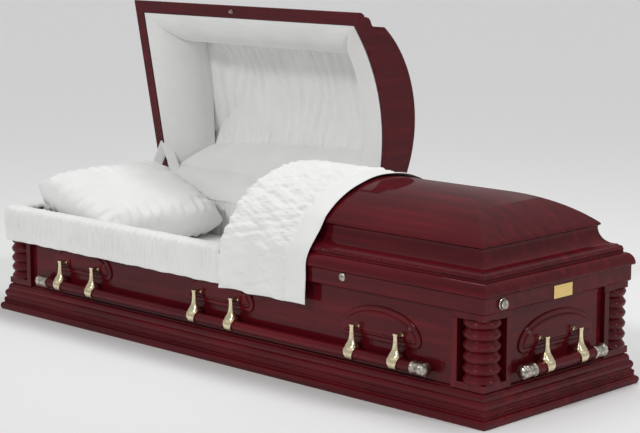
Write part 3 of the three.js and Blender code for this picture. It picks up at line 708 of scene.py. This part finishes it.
def hinge_details(material):
    """Knuckle joints and screw heads along the hinge."""
    run = HALF_LENGTH - 110 * MM
    knuckle = [(6.05 * MM, -0.9 * MM), (6.7 * MM, -0.6 * MM), (6.7 * MM, 0.6 * MM), (6.05 * MM, 0.9 * MM)]
    screw = millimetres([(0.1, -0.5), (3.4, -0.5), (3.4, 0.3), (2.4, 1.2), (0.1, 1.5)])
    plate = HALF_WIDTH - RAIL_INSET + 3.3 * MM
    turned = [lathe(knuckle, 20, "x", (x, HINGE.y, HINGE.z)) for x in np.arange(-run + 30 * MM, run, 60 * MM)]
    turned += [lathe(screw, 16, "y", (x, plate, HINGE.z - 17 * MM))
               for x in np.arange(-run + 60 * MM, run, 120 * MM)]
    points, faces = [], []
    for ring, more in turned:
        faces += [tuple(len(points) + i for i in face) for face in more]
        points += ring
    piece = mesh_piece("hinge_knuckles", points, faces, material, "casket", sharp=40)


# Cloth
def ripples(u, v, pitch_u, pitch_v, seed, count=7):
    """Smooth uneven folds: a sum of waves of about the given pitches, between -1 and 1 or so."""
    draw = np.random.default_rng(seed)
    total = np.zeros(np.broadcast(u, v).shape)
    for _ in range(count):
        ku = 2 * math.pi / (pitch_u * draw.uniform(0.62, 1.7))
        kv = 2 * math.pi / (pitch_v * draw.uniform(0.62, 1.7)) * draw.choice((-1, 1))
        total = total + np.sin(ku * u + kv * v + draw.uniform(0, 2 * math.pi))
    return total / math.sqrt(count / 2) / 1.4


def bump_between(value, low, high, soft):
    """1 between low and high, falling softly to 0 over soft outside them."""
    rise = np.clip((value - low) / soft + 1, 0, 1)
    fall = np.clip((high - value) / soft + 1, 0, 1)
    both = np.minimum(rise, fall)
    return both * both * (3 - 2 * both)


def grid_normals(grid):
    du = np.gradient(grid, axis=0)
    dv = np.gradient(grid, axis=1)
    cross = np.cross(du, dv)
    return cross / np.maximum(np.linalg.norm(cross, axis=2, keepdims=True), 1e-12)


def thick_sheet(name, grid, thickness, material, body=None, sharp=70):
    """Closed sheet round a grid of points, with round edges."""
    normals = grid_normals(grid)
    front = grid + normals * thickness / 2
    rear = grid - normals * thickness / 2
    rows, columns = grid.shape[:2]
    count = rows * columns
    points = list(front.reshape(-1, 3)) + list(rear.reshape(-1, 3))
    index = np.arange(count).reshape(rows, columns)
    faces = []
    for i in range(rows - 1):
        for j in range(columns - 1):
            quad = (index[i, j], index[i, j + 1], index[i + 1, j + 1], index[i + 1, j])
            faces.append(quad)
            faces.append(tuple(count + k for k in reversed(quad)))
    rim = ([(i, 0) for i in range(rows)] + [(rows - 1, j) for j in range(1, columns)]
           + [(i, columns - 1) for i in range(rows - 2, -1, -1)]
           + [(0, j) for j in range(columns - 2, 0, -1)])
    first = len(points)
    for i, j in rim:
        near = grid[min(max(i, 1), rows - 2), min(max(j, 1), columns - 2)]
        out = grid[i, j] - near
        length = max(np.linalg.norm(out), 1e-9)
        points.append(grid[i, j] + out / length * thickness * 0.42)
    for k in range(len(rim)):
        m = (k + 1) % len(rim)
        a, b = index[rim[k]], index[rim[m]]
        faces.append((a, first + k, first + m, b))
        faces.append((count + b, first + m, first + k, count + a))
    return mesh_piece(name, points, faces, material, body, sharp)


def arc_lengths(points):
    steps = np.linalg.norm(np.diff(points, axis=0), axis=1)
    return np.concatenate([[0], np.cumsum(steps)])


def smooth_path(points, count, passes=3):
    """Round off a polyline and share out points evenly along it."""
    path = np.array(points, float)
    for _ in range(passes):
        cut = np.empty((2 * len(path) - 2, path.shape[1]))
        cut[0::2] = path[:-1] * 0.75 + path[1:] * 0.25
        cut[1::2] = path[:-1] * 0.25 + path[1:] * 0.75
        path = np.vstack([path[:1], cut, path[-1:]])
    lengths = arc_lengths(path)
    at = np.linspace(0, lengths[-1], count)
    return np.column_stack([np.interp(at, lengths, path[:, k]) for k in range(path.shape[1])])


def tube(name, path, radius, sides, material, body):
    """Round cord through a row of points, with closed ends."""
    path = np.array(path, float)
    tangents = np.gradient(path, axis=0)
    tangents /= np.linalg.norm(tangents, axis=1, keepdims=True)
    side = np.cross(tangents, [0, 0, 1.0])
    side /= np.maximum(np.linalg.norm(side, axis=1, keepdims=True), 1e-9)
    up = np.cross(side, tangents)
    points = []
    for centre, a, b in zip(path, side, up):
        for k in range(sides):
            angle = 2 * math.pi * k / sides
            points.append(centre + radius * (math.cos(angle) * a + math.sin(angle) * b))
    return mesh_piece(name, points, capped_faces(len(path), sides), material, body, sharp=60)


def apron_path(bend):
    """Along the front from the split to the head, round the corner and across the head end: rows of
    (distance, corner share, function of inset). The corner share runs from 0 to 1 round the bend."""
    stations = []
    for x in np.arange(APRON_STOP, -HALF_LENGTH + bend, -2.6 * MM):
        stations.append((APRON_STOP - x, lambda inset, x=x: (x, -HALF_WIDTH + inset)))
    start = stations[-1][0]
    for angle in np.linspace(0, 90, 19)[1:]:
        turn = math.radians(angle)

        def place(inset, turn=turn):
            reach = max(bend - inset, 0.0)
            centre = max(inset, bend)
            across = centre - reach * math.cos(turn)
            return -HALF_LENGTH + centre - reach * math.sin(turn), -HALF_WIDTH + across
        stations.append((start + turn * bend, place))
    start = stations[-1][0]
    for y in np.arange(-HALF_WIDTH + bend, HALF_WIDTH - 24 * MM, 2.6 * MM):
        stations.append((start + y + HALF_WIDTH - bend, lambda inset, y=y: (-HALF_LENGTH + inset, y)))
    return stations


def apron(material):
    """Gathered skirt over the rail, with a soft top and a rolled hem."""
    outline = [(67, 343), (66, 350), (61, 354), (50, 355.5), (36, 355.5), (25, 354), (17.5, 350), (13.2, 342),
               (11.6, 328), (11.2, 308), (11.2, 285), (11, 262), (10.6, 248)]
    profile = smooth_path(outline, 52) * MM
    depth = arc_lengths(profile)
    total = depth[-1]
    stations = apron_path(40 * MM)
    along = np.array([station[0] for station in stations])
    share = depth / total
    s, t = np.meshgrid(along, share, indexing="ij")
    strength = 0.35 + 0.65 * bump_between(t, 0.34, 0.74, 0.22)
    fine = ripples(s, t * 0.6, 0.021, 0.9, 11, 9)
    broad = ripples(s, t * 0.5, 0.085, 0.8, 12, 5)
    folds = (np.abs(fine) ** 0.75 * np.sign(fine)) * 2.3 * MM + broad * 1.4 * MM
    out = folds * strength
    wave = ripples(s, 0 * s, 0.12, 1, 13, 5) * 0.9 * MM
    grid = np.empty((*s.shape, 3))
    for i, (_, place) in enumerate(stations):
        for j, (inset, z) in enumerate(profile):
            top = bump_between(share[j], 0.06, 0.3, 0.1)
            x, y = place(inset - out[i, j] * (1 - top))
            grid[i, j] = (x, y, z + out[i, j] * top * 0.7 + wave[i, j] * max(share[j] - 0.6, 0) / 0.4)
    piece = thick_sheet("apron_cloth", grid, 2.6 * MM, material, "casket")
    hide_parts("apron")
    hem = grid[:, -1] - [0, 0, 1.5 * MM]
    piping = tube("apron_piping", hem[::2], 3.1 * MM, 8, material, "casket")
    for soft in (piece, piping):
        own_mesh(soft)


def overlay(material):
    """Crinkled throw over the foot lid, with a smooth hem band along its right edge."""
    lift = 8 * MM
    half = math.asin(crown_half_span / crown_radius)
    front = [(-344, 236), (-342.5, 270), (-341, 310), (-340, 350), (-335, 372), (-325, 397), (-306, 424),
             (-284, 452)]
    angles = np.linspace(-half * 0.97, half, 40)
    over_radius = crown_radius + lift
    over = [(over_radius * math.sin(a) / MM, (crown_centre + over_radius * math.cos(a)) / MM) for a in angles]
    path = smooth_path(front + over, 236, 2) * MM
    length = arc_lengths(path)
    xs = np.linspace(OVERLAY_START + 1 * MM, OVERLAY_END - 4 * MM, 110)
    x, a = np.meshgrid(xs, length, indexing="ij")
    grid = np.empty((*x.shape, 3))
    grid[:, :, 0] = x
    grid[:, :, 1] = path[:, 0]
    grid[:, :, 2] = path[:, 1]
    seam = OVERLAY_END - 85 * MM
    body = bump_between(x, -1, seam - 8 * MM, 10 * MM)
    band = 1 - bump_between(x, -1, seam, 6 * MM)
    drop = bump_between(a, -1, 110 * MM, 60 * MM)
    crinkle = ripples(x, a, 0.11, 0.034, 21, 9)
    small = ripples(x, a, 0.06, 0.017, 22, 8)
    diagonal = ripples(x + 0.7 * a, a - 0.5 * x, 0.12, 0.5, 23, 5)
    puff = body * (2.5 * crinkle + 1.3 * small) * (1 - 0.35 * drop)
    puff += 2.6 * drop * diagonal + band * 0.7 * diagonal
    ridge = 2.2 * np.exp(-((x - seam) / (4 * MM)) ** 2) * (0.6 + 0.4 * ripples(x * 0, a, 1, 0.03, 24, 4))
    edge = 1.6 * np.exp(-((x - OVERLAY_END + 6 * MM) / (5 * MM)) ** 2)
    grid += grid_normals(grid) * ((puff - ridge + edge + 2.2 * body) * MM)[:, :, None] * facing(grid)
    grid[:, :, 2] += drop_hem(x, a)
    grid[:, :, 0] += 2.0 * MM * ripples(a, a * 0, 0.3, 1, 25, 4)
    piece = thick_sheet("overlay_throw", grid, 3.2 * MM, material, "foot_lid")
    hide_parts("overlay_cloth")


def facing(grid):
    """1 or -1, so that a normal times this points up and out of the casket."""
    normals = grid_normals(grid)
    middle = normals[grid.shape[0] // 2, grid.shape[1] // 2]
    return 1.0 if middle[2] > 0 else -1.0


def drop_hem(x, a):
    """Slight wave of the lower hem."""
    near = np.clip(1 - a / (60 * MM), 0, 1)
    return near * (1.6 * MM + 1.6 * MM * ripples(x, a * 0, 0.16, 1, 26, 4))


def roll_profile(steps=22):
    """Padded roll of a lid lining, from the seat to the fold at the panel, then the wall of the recess."""
    power = 1.85
    reach = LIP_INSET + SEAT_BORDER + LINING_ROLL - ROLL_START
    points = []
    for t in np.linspace(0, math.pi / 2, steps + 1):
        points.append((ROLL_START + reach * math.sin(t) ** (2 / power),
                       SEAT + LINING_DEPTH + 2 * MM - LINING_DEPTH * math.cos(t) ** (2 / power)))
    inset, z = points[-1]
    points += [(inset + 1.5 * MM, z + 3 * MM), (inset + 1.5 * MM, z + 9 * MM), (inset + 2 * MM, z + 24 * MM)]
    behind = [(inset - 6 * MM, z + 24 * MM), (inset - 9 * MM, z + 4 * MM), (112 * MM, z - 46 * MM),
              (76 * MM, 402 * MM), (58.5 * MM, 373 * MM), (58 * MM, 354 * MM)]
    return points, behind


def under_crown(distance):
    """Height of the inner face of a lid's crown at a distance from its middle line."""
    within = np.minimum(distance, crown_radius * 0.9)
    return crown_centre + np.sqrt((crown_radius - CROWN_THICK) ** 2 - within ** 2)


def drawn_in(spot, inset):
    """Towards the hinge the roll is narrower and lower, most of all at its far corner."""
    across = max(spot[1] / max(HALF_WIDTH - inset, 1e-6), 0)
    narrow = (1 - np.interp(abs(spot[0]) / MM, [130, 495, 900], [0.96, 0.85, 0.62])) * across
    spot[1] += max(inset - ROLL_START, 0) * narrow
    spot[2] = SEAT + (spot[2] - SEAT) * (1 - narrow / 2)


def lid_lining(name, end_sign, body, material):
    split = SPLIT + end_sign * (SPLIT_GAP / 2 + HEADER + 1 * MM)
    edge = LIP_INSET + SEAT_BORDER

    def split_corner(side_sign):
        return lambda inset, z: (split - end_sign * (edge - inset), side_sign * (HALF_WIDTH - inset), z)

    corners = [corner(end_sign, -1), split_corner(-1), split_corner(1), corner(end_sign, 1)]
    front, behind = roll_profile()
    profile = front + behind
    padding = np.array([np.linalg.norm(np.array(p) - np.array(front[0])) for p in profile])
    crest = np.sin(np.clip(padding / padding[len(front) - 4], 0, 1) * math.pi)
    rows = []
    for side in range(4):
        first, last = corners[side], corners[(side + 1) % 4]
        length = np.linalg.norm(np.array(first(edge, SEAT)) - np.array(last(edge, SEAT)))
        at = np.concatenate([[0, 4, 9, 16, 26], np.arange(42, length / MM - 40, 22),
                             length / MM - np.array([26, 16, 9, 4])]) * MM
        for d in at:
            share = d / length
            sink = 5.5 * MM * math.exp(-(min(d, length - d) / (9 * MM)) ** 2)
            row = []
            for k, (inset, z) in enumerate(profile):
                press = 0
                if k < len(front):
                    press = (sink + float(ripples(d, padding[k], 0.3, 0.2, 40 + side, 4)) * MM) * crest[k]
                spot = np.array(first(inset - press * 0.7, z + press * 0.7)) * (1 - share)
                spot += np.array(last(inset - press * 0.7, z + press * 0.7)) * share
                if side == 1:
                    across = spot[1] / max(HALF_WIDTH - inset, 1e-6)
                    up = min(max((SEAT + LINING_DEPTH - z) / LINING_DEPTH, 0), 1)
                    spot[2] += HEADER_ARCH * max(1 - across ** 2, 0) * up
                    wall = min(max((z - SEAT - LINING_DEPTH - 5 * MM) / (19 * MM), 0), 1)
                    spot[2] += max(float(under_crown(abs(spot[1]))) - 3 * MM - z, 0) * wall
                drawn_in(spot, inset)
                row.append(spot)
            rows.append(row)
    points = [p for row in rows for p in row]
    faces = ring_faces(len(rows), len(profile), closed=True)
    if end_sign < 0:
        points = opened(points)
    roll = mesh_piece(name + "_roll", points, faces, material, body, sharp=55)
    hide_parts(name)
    lid_panel(name + "_panel", end_sign, split, body, material)


def lid_panel(name, end_sign, split, body, material):
    """Shirred panel inside a lid, pleated across it and domed with the crown."""
    edge = LIP_INSET + SEAT_BORDER + LINING_ROLL
    reach = HALF_WIDTH - edge + 12 * MM
    far = end_sign * (HALF_LENGTH - edge + 12 * MM)
    near = split + end_sign * (LINING_ROLL - 12 * MM)
    xs = np.linspace(near, far, int(abs(far - near) / (2.6 * MM)))
    ys = np.linspace(-reach, reach + 42 * MM, 80)
    x, y = np.meshgrid(xs, ys, indexing="ij")
    from_end = HALF_WIDTH - (HALF_LENGTH - np.abs(x))
    height = np.minimum(under_crown(np.abs(y)), under_crown(np.clip(from_end, 0, None))) - 9 * MM
    gather = 0.55 + 0.45 * np.exp(-((y + reach) / (70 * MM)) ** 2)
    phase = 0.012 * ripples(x, y, 0.35, 0.28, 61, 5)
    pleat = np.cos(2 * math.pi * (x + phase) / (46 * MM))
    second = ripples(x, y, 0.05, 0.7, 62, 8)
    fine = ripples(x, y, 0.016, 0.25, 63, 7) * np.exp(-((np.abs(y) - reach) / (50 * MM)) ** 2)
    pleat = np.sign(pleat) * np.abs(pleat) ** 0.8
    height = height + (4.4 * pleat + 2.6 * second) * gather * MM + 1.4 * fine * MM
    grid = np.stack([x, y, height], axis=2)
    if end_sign < 0:
        flat = opened(grid.reshape(-1, 3))
        grid = np.array([tuple(p) for p in flat]).reshape(grid.shape)
    panel = thick_sheet(name, grid, 1.6 * MM, material, body)


def hinge_cover(material):
    """Puffed strip from the back rail up to the roll of the open head lid, over the hinge."""
    foot = np.array([HALF_WIDTH - WALL_INSIDE - 7 * MM, RAIL_TOP - 4 * MM])
    head = np.array(opened([(0, HALF_WIDTH - 82 * MM, SEAT + 7 * MM)])[0][1:])
    control = (foot + head) / 2 + np.array([-20, 16]) * MM
    us = np.linspace(0, 1, 32)[:, None]
    path = foot * (1 - us) ** 2 + control * 2 * us * (1 - us) + head * us ** 2
    length = arc_lengths(path)
    x, u = np.meshgrid(np.arange(-962 * MM, 12 * MM, 5 * MM), length, indexing="ij")
    grid = np.stack([x, np.broadcast_to(path[:, 0], x.shape), np.broadcast_to(path[:, 1], x.shape)], axis=2)
    folds = 1.8 * ripples(x, u, 0.3, 0.12, 71, 5) + 0.4 * ripples(x, u, 0.06, 0.3, 72, 6)
    grid += grid_normals(grid) * (folds * MM)[:, :, None]
    piece = thick_sheet("hinge_cover", grid, 2.4 * MM, material)
    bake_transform(piece)


def stay_strap(material):
    """Tape from the head end of the lid down to the rail, in two legs."""
    apex = Vector((-1.008, 0.352, 0.512))
    for name, low, middle in (("stay_strap_a", (-1.040, 0.296, 0.356), (-1.020, 0.320, 0.43)),
                              ("stay_strap_b", (-0.905, 0.325, 0.358), (-0.950, 0.346, 0.43))):
        path = smooth_path([tuple(apex), middle, low], 24, 3)
        tangent = np.gradient(path, axis=0)
        tangent /= np.linalg.norm(tangent, axis=1, keepdims=True)
        across = np.cross(tangent, [0.70, -0.70, 0.17])
        across /= np.linalg.norm(across, axis=1, keepdims=True)
        widths = np.linspace(-1, 1, 9) * 17 * MM
        grid = path[:, None, :] + across[:, None, :] * widths[None, :, None]
        piece = thick_sheet(name, grid, 1.8 * MM, material)
        tuple(low)
        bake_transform(piece)


def inside_outline(inset):
    post = 140 * MM
    step = inset + post - WALL_INSIDE
    x, y = HALF_LENGTH - inset, HALF_WIDTH - inset
    cut_x, cut_y = HALF_LENGTH - step, HALF_WIDTH - step
    return [(cut_x, y), (cut_x, cut_y), (x, cut_y), (x, -cut_y), (cut_x, -cut_y), (cut_x, -y),
            (-cut_x, -y), (-cut_x, -cut_y), (-x, -cut_y), (-x, cut_y), (-cut_x, cut_y), (-cut_x, y)]


def body_lining(material):
    """Shirred lining of the inside walls of the body."""
    path = [Vector((*p, 0)) for p in inside_outline(WALL_INSIDE + 4.5 * MM)]
    spots, inward, at = [], [], []
    travelled = 0.0
    for k, start in enumerate(path):
        end = path[(k + 1) % len(path)]
        run = (end - start).length
        direction = (end - start).normalized()
        steps = max(int(run / (3.2 * MM)), 2)
        for i in range(steps):
            spots.append(start + direction * (run * i / steps))
            inward.append(Vector((direction.y, -direction.x, 0)))
            at.append(travelled + run * i / steps)
        travelled += run
    centre_side = 1 if (Vector((0, 0, 0)) - spots[5]).dot(inward[5]) > 0 else -1
    heights = np.concatenate([np.linspace(19.5, 200, 7), np.linspace(212, 351, 18)]) * MM
    s, z = np.meshgrid(np.array(at), heights, indexing="ij")
    folds = ripples(s, z, 0.019, 0.5, 81, 8) * 1.5 + ripples(s, z, 0.07, 0.5, 82, 5) * 0.9
    grid = np.empty((*s.shape, 3))
    for i in range(len(spots)):
        offset = np.array(inward[i]) * centre_side
        grid[i, :, :2] = np.array(spots[i])[:2] + offset[:2] * (folds[i][:, None] * MM)
        grid[i, :, 2] = heights
    grid = np.concatenate([grid, grid[:1]], axis=0)
    piece = thick_sheet("body_lining_shirred", grid, 1.6 * MM, material, "casket")
    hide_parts("body_lining")


def mattress(material):
    """Mattress under a plain sheet: soft edges and a slightly uneven top."""
    low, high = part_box("bed_mattress")
    centre, half = (low + high) / 2, (high - low) / 2
    edge = 24 * MM
    count = 240

    def around(k, drawn):
        angle = 2 * math.pi * (k + 0.5) / count
        c, s = math.cos(angle), math.sin(angle)
        scale = (abs(c) ** 14 + abs(s) ** 14) ** (-1 / 14)
        return (half.x - drawn) * c * scale, (half.y - drawn) * s * scale

    rings = [(0.0, low.z), (0.0, centre.z - 0.2 * half.z), (0.0, centre.z + 0.55 * half.z)]
    for angle in np.linspace(0, math.pi / 2, 9):
        rings.append((edge * (1 - math.cos(angle)), high.z - edge * (1 - math.sin(angle))))
    points = []
    for drawn, z in rings:
        for k in range(count):
            x, y = around(k, drawn)
            points.append((centre.x + x, centre.y + y, z))
    shares = np.linspace(1, 0.02, 46)[1:]
    for share in shares:
        for k in range(count):
            x, y = around(k, edge)
            x, y = x * share, y * share
            dip = (float(ripples(x, y, 0.5, 0.3, 91, 5)) * 1.6 - 2) * MM * (1 - share) ** 0.5
            points.append((centre.x + x, centre.y + y, high.z + dip))
    faces = capped_faces(len(rings) + len(shares), count)
    piece = mesh_piece("mattress_cover", points, faces, material, "casket", sharp=60)
    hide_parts("bed_mattress")


def pillow(material):
    """Plump tilted pillow, puckered along its seams and pressed flat where it lies on the bed."""
    low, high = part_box("pillow")
    length, width, thick = 404 * MM, 552 * MM, 154 * MM
    columns, rows = 72, 96
    u, v = np.meshgrid(np.linspace(-1, 1, columns + 1), np.linspace(-1, 1, rows + 1), indexing="ij")
    x, y = u * length / 2, v * width / 2
    from_end, from_side = (1 - abs(u)) * length / 2, (1 - abs(v)) * width / 2
    swell = ((1 - u ** 8) * (1 - v ** 8)) ** 0.5 * (thick / 2 - 8 * MM * (1 - (1 - u ** 2) * (1 - v ** 2)))
    end_creases = ripples(y, from_end, 0.034, 0.3, 51, 8) * np.exp(-(from_end / 0.075) ** 2)
    side_creases = ripples(x, from_side, 0.034, 0.3, 52, 8) * np.exp(-(from_side / 0.075) ** 2)
    creases = (end_creases + side_creases) * 4.2 + ripples(x, y, 0.12, 0.16, 53, 6) * 1.6
    heights = swell + creases * MM * np.clip(np.minimum(from_end, from_side) / (14 * MM), 0, 1)
    drawn = 1 - 0.06 * (1 - (1 - u ** 2) * (1 - v ** 2))
    points, faces, index = [], [], {}
    for layer in (1, -1):
        for i in range(columns + 1):
            for j in range(rows + 1):
                rim = i in (0, columns) or j in (0, rows)
                key = (i, j, 0 if rim else layer)
                if key not in index:
                    index[key] = len(points)
                    scale = drawn[i, j]
                    points.append((x[i, j] * scale, y[i, j] * scale, 0 if rim else layer * heights[i, j]))
    for layer in (1, -1):
        for i in range(columns):
            for j in range(rows):
                quad = []
                for a, b in ((i, j), (i + 1, j), (i + 1, j + 1), (i, j + 1)):
                    rim = a in (0, columns) or b in (0, rows)
                    quad.append(index[(a, b, 0 if rim else layer)])
                faces.append(tuple(quad if layer > 0 else reversed(quad)))
    tilt = np.array(Matrix.Rotation(math.radians(22), 3, "Y"))
    spots = np.array(points) @ tilt.T
    seat = (low + high) / 2
    spots += [seat.x, seat.y, low.z - spots[:, 2].min()]
    flat_end = BED_TOP + 15 * MM
    sunk = np.clip(flat_end - spots[:, 2], 0, None)
    spots[:, 2] += sunk ** 2 / (4 * 14 * MM)
    piece = mesh_piece("pillow_soft", spots, faces, material, "casket", sharp=80)
    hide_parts("pillow")
    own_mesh(piece)


make_camera()
make_studio()

wood_x = lacquered_wood("cherry_along", "x")
wood_y = lacquered_wood("cherry_across", "y")
wood_z = lacquered_wood("cherry_upright", "z")
brass = cast_metal("antique_brass", (0.86, 0.76, 0.52), (0.70, 0.61, 0.40), 0.22)
silver = cast_metal("silver_fittings", (0.66, 0.62, 0.54), (0.25, 0.22, 0.18), 0.26)
gold = brushed_metal("gold_plate", (0.88, 0.65, 0.25), 0.32)
cloth = white_cloth("white_cloth", (0.81, 0.81, 0.80))
satin = white_cloth("white_satin", (0.81, 0.81, 0.80), crease=12.0, crease_depth=0.0005)

SOFT_NODES = ("body_lining", "bed_mattress", "pillow", "apron", "overlay_cloth", "head_lid_lining",
              "foot_lid_lining")
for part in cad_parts:
    if part.startswith("handle_arm") or "hinge" in part:
        dress(part, brass)
    elif part in ("lid_lock", "record_tube_cap"):
        dress(part, silver)
    elif part == "name_plate":
        dress(part, gold)
    elif part in SOFT_NODES:
        dress(part, cloth)
    elif part.startswith("corner_post"):
        dress(part, wood_z)
    elif headed(part):
        dress(part, wood_y)
    else:
        dress(part, wood_x)

base_and_rope(wood_x)
lid_shell("foot_lid_shell_wood", 1, "foot_lid", wood_x)
lid_shell("head_lid_shell_wood", -1, "head_lid", wood_x)
lid_rope("foot_lid_rope", 1, "foot_lid", wood_x)
lid_rope("head_lid_rope", -1, "head_lid", wood_x)
for place in ("front_head", "front_foot", "back_foot", "back_head"):
    column("corner_column_" + place, wood_z)
    soften_edges("corner_post_" + place, 1.6 * MM)
for part in ("top_rail", "side_front", "side_back", "end_head", "end_foot", "head_lid_header",
             "foot_lid_header"):
    soften_edges(part, 1.0 * MM)
soften_edges("name_plate", 0.4 * MM)

for part in [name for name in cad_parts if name.startswith("plaque_")]:
    plaque(part, wood_y if headed(part) else wood_x)
for part in [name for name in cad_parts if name.startswith("handle_arm")]:
    handle_arm(part, brass)
for side in ("front", "back", "head", "foot"):
    handle_bar("handle_bar_" + side, wood_x if side in ("front", "back") else wood_y, silver)
lock = [(0.1, 0, 0), (12, 0, 0), (12, 1.2, 0), (11, 2.2, 0), (9.2, 3, 0), (8, 2.8, 0), (7.2, 1.8, 0),
        (5.2, 1.6, 0), (4.4, 1.8, 0), (4, 0.6, 0), (0.1, 0.5, 0)]
fitting("lid_lock", "front", lock, 6, silver)
tube_cap = [(0.1, 0, 0), (15.6, 0, 0), (16, 1, 0), (16, 3, 0), (14.8, 4, 0), (12.6, 4.6, 1), (12.4, 6, 1.4),
            (12.4, 10, 1.4), (12, 11.6, 1), (10.4, 12.6, 0), (6, 12.9, 0), (5, 12.2, 0), (0.1, 12, 0)]
fitting("record_tube_cap", "foot", tube_cap, 16, silver)
lid_catch(silver)
hinge_details(brass)

apron(cloth)
overlay(cloth)
lid_lining("head_lid_lining", -1, "head_lid", satin)
lid_lining("foot_lid_lining", 1, "foot_lid", satin)
hinge_cover(satin)
stay_strap(satin)
body_lining(cloth)
mattress(satin)
pillow(cloth)
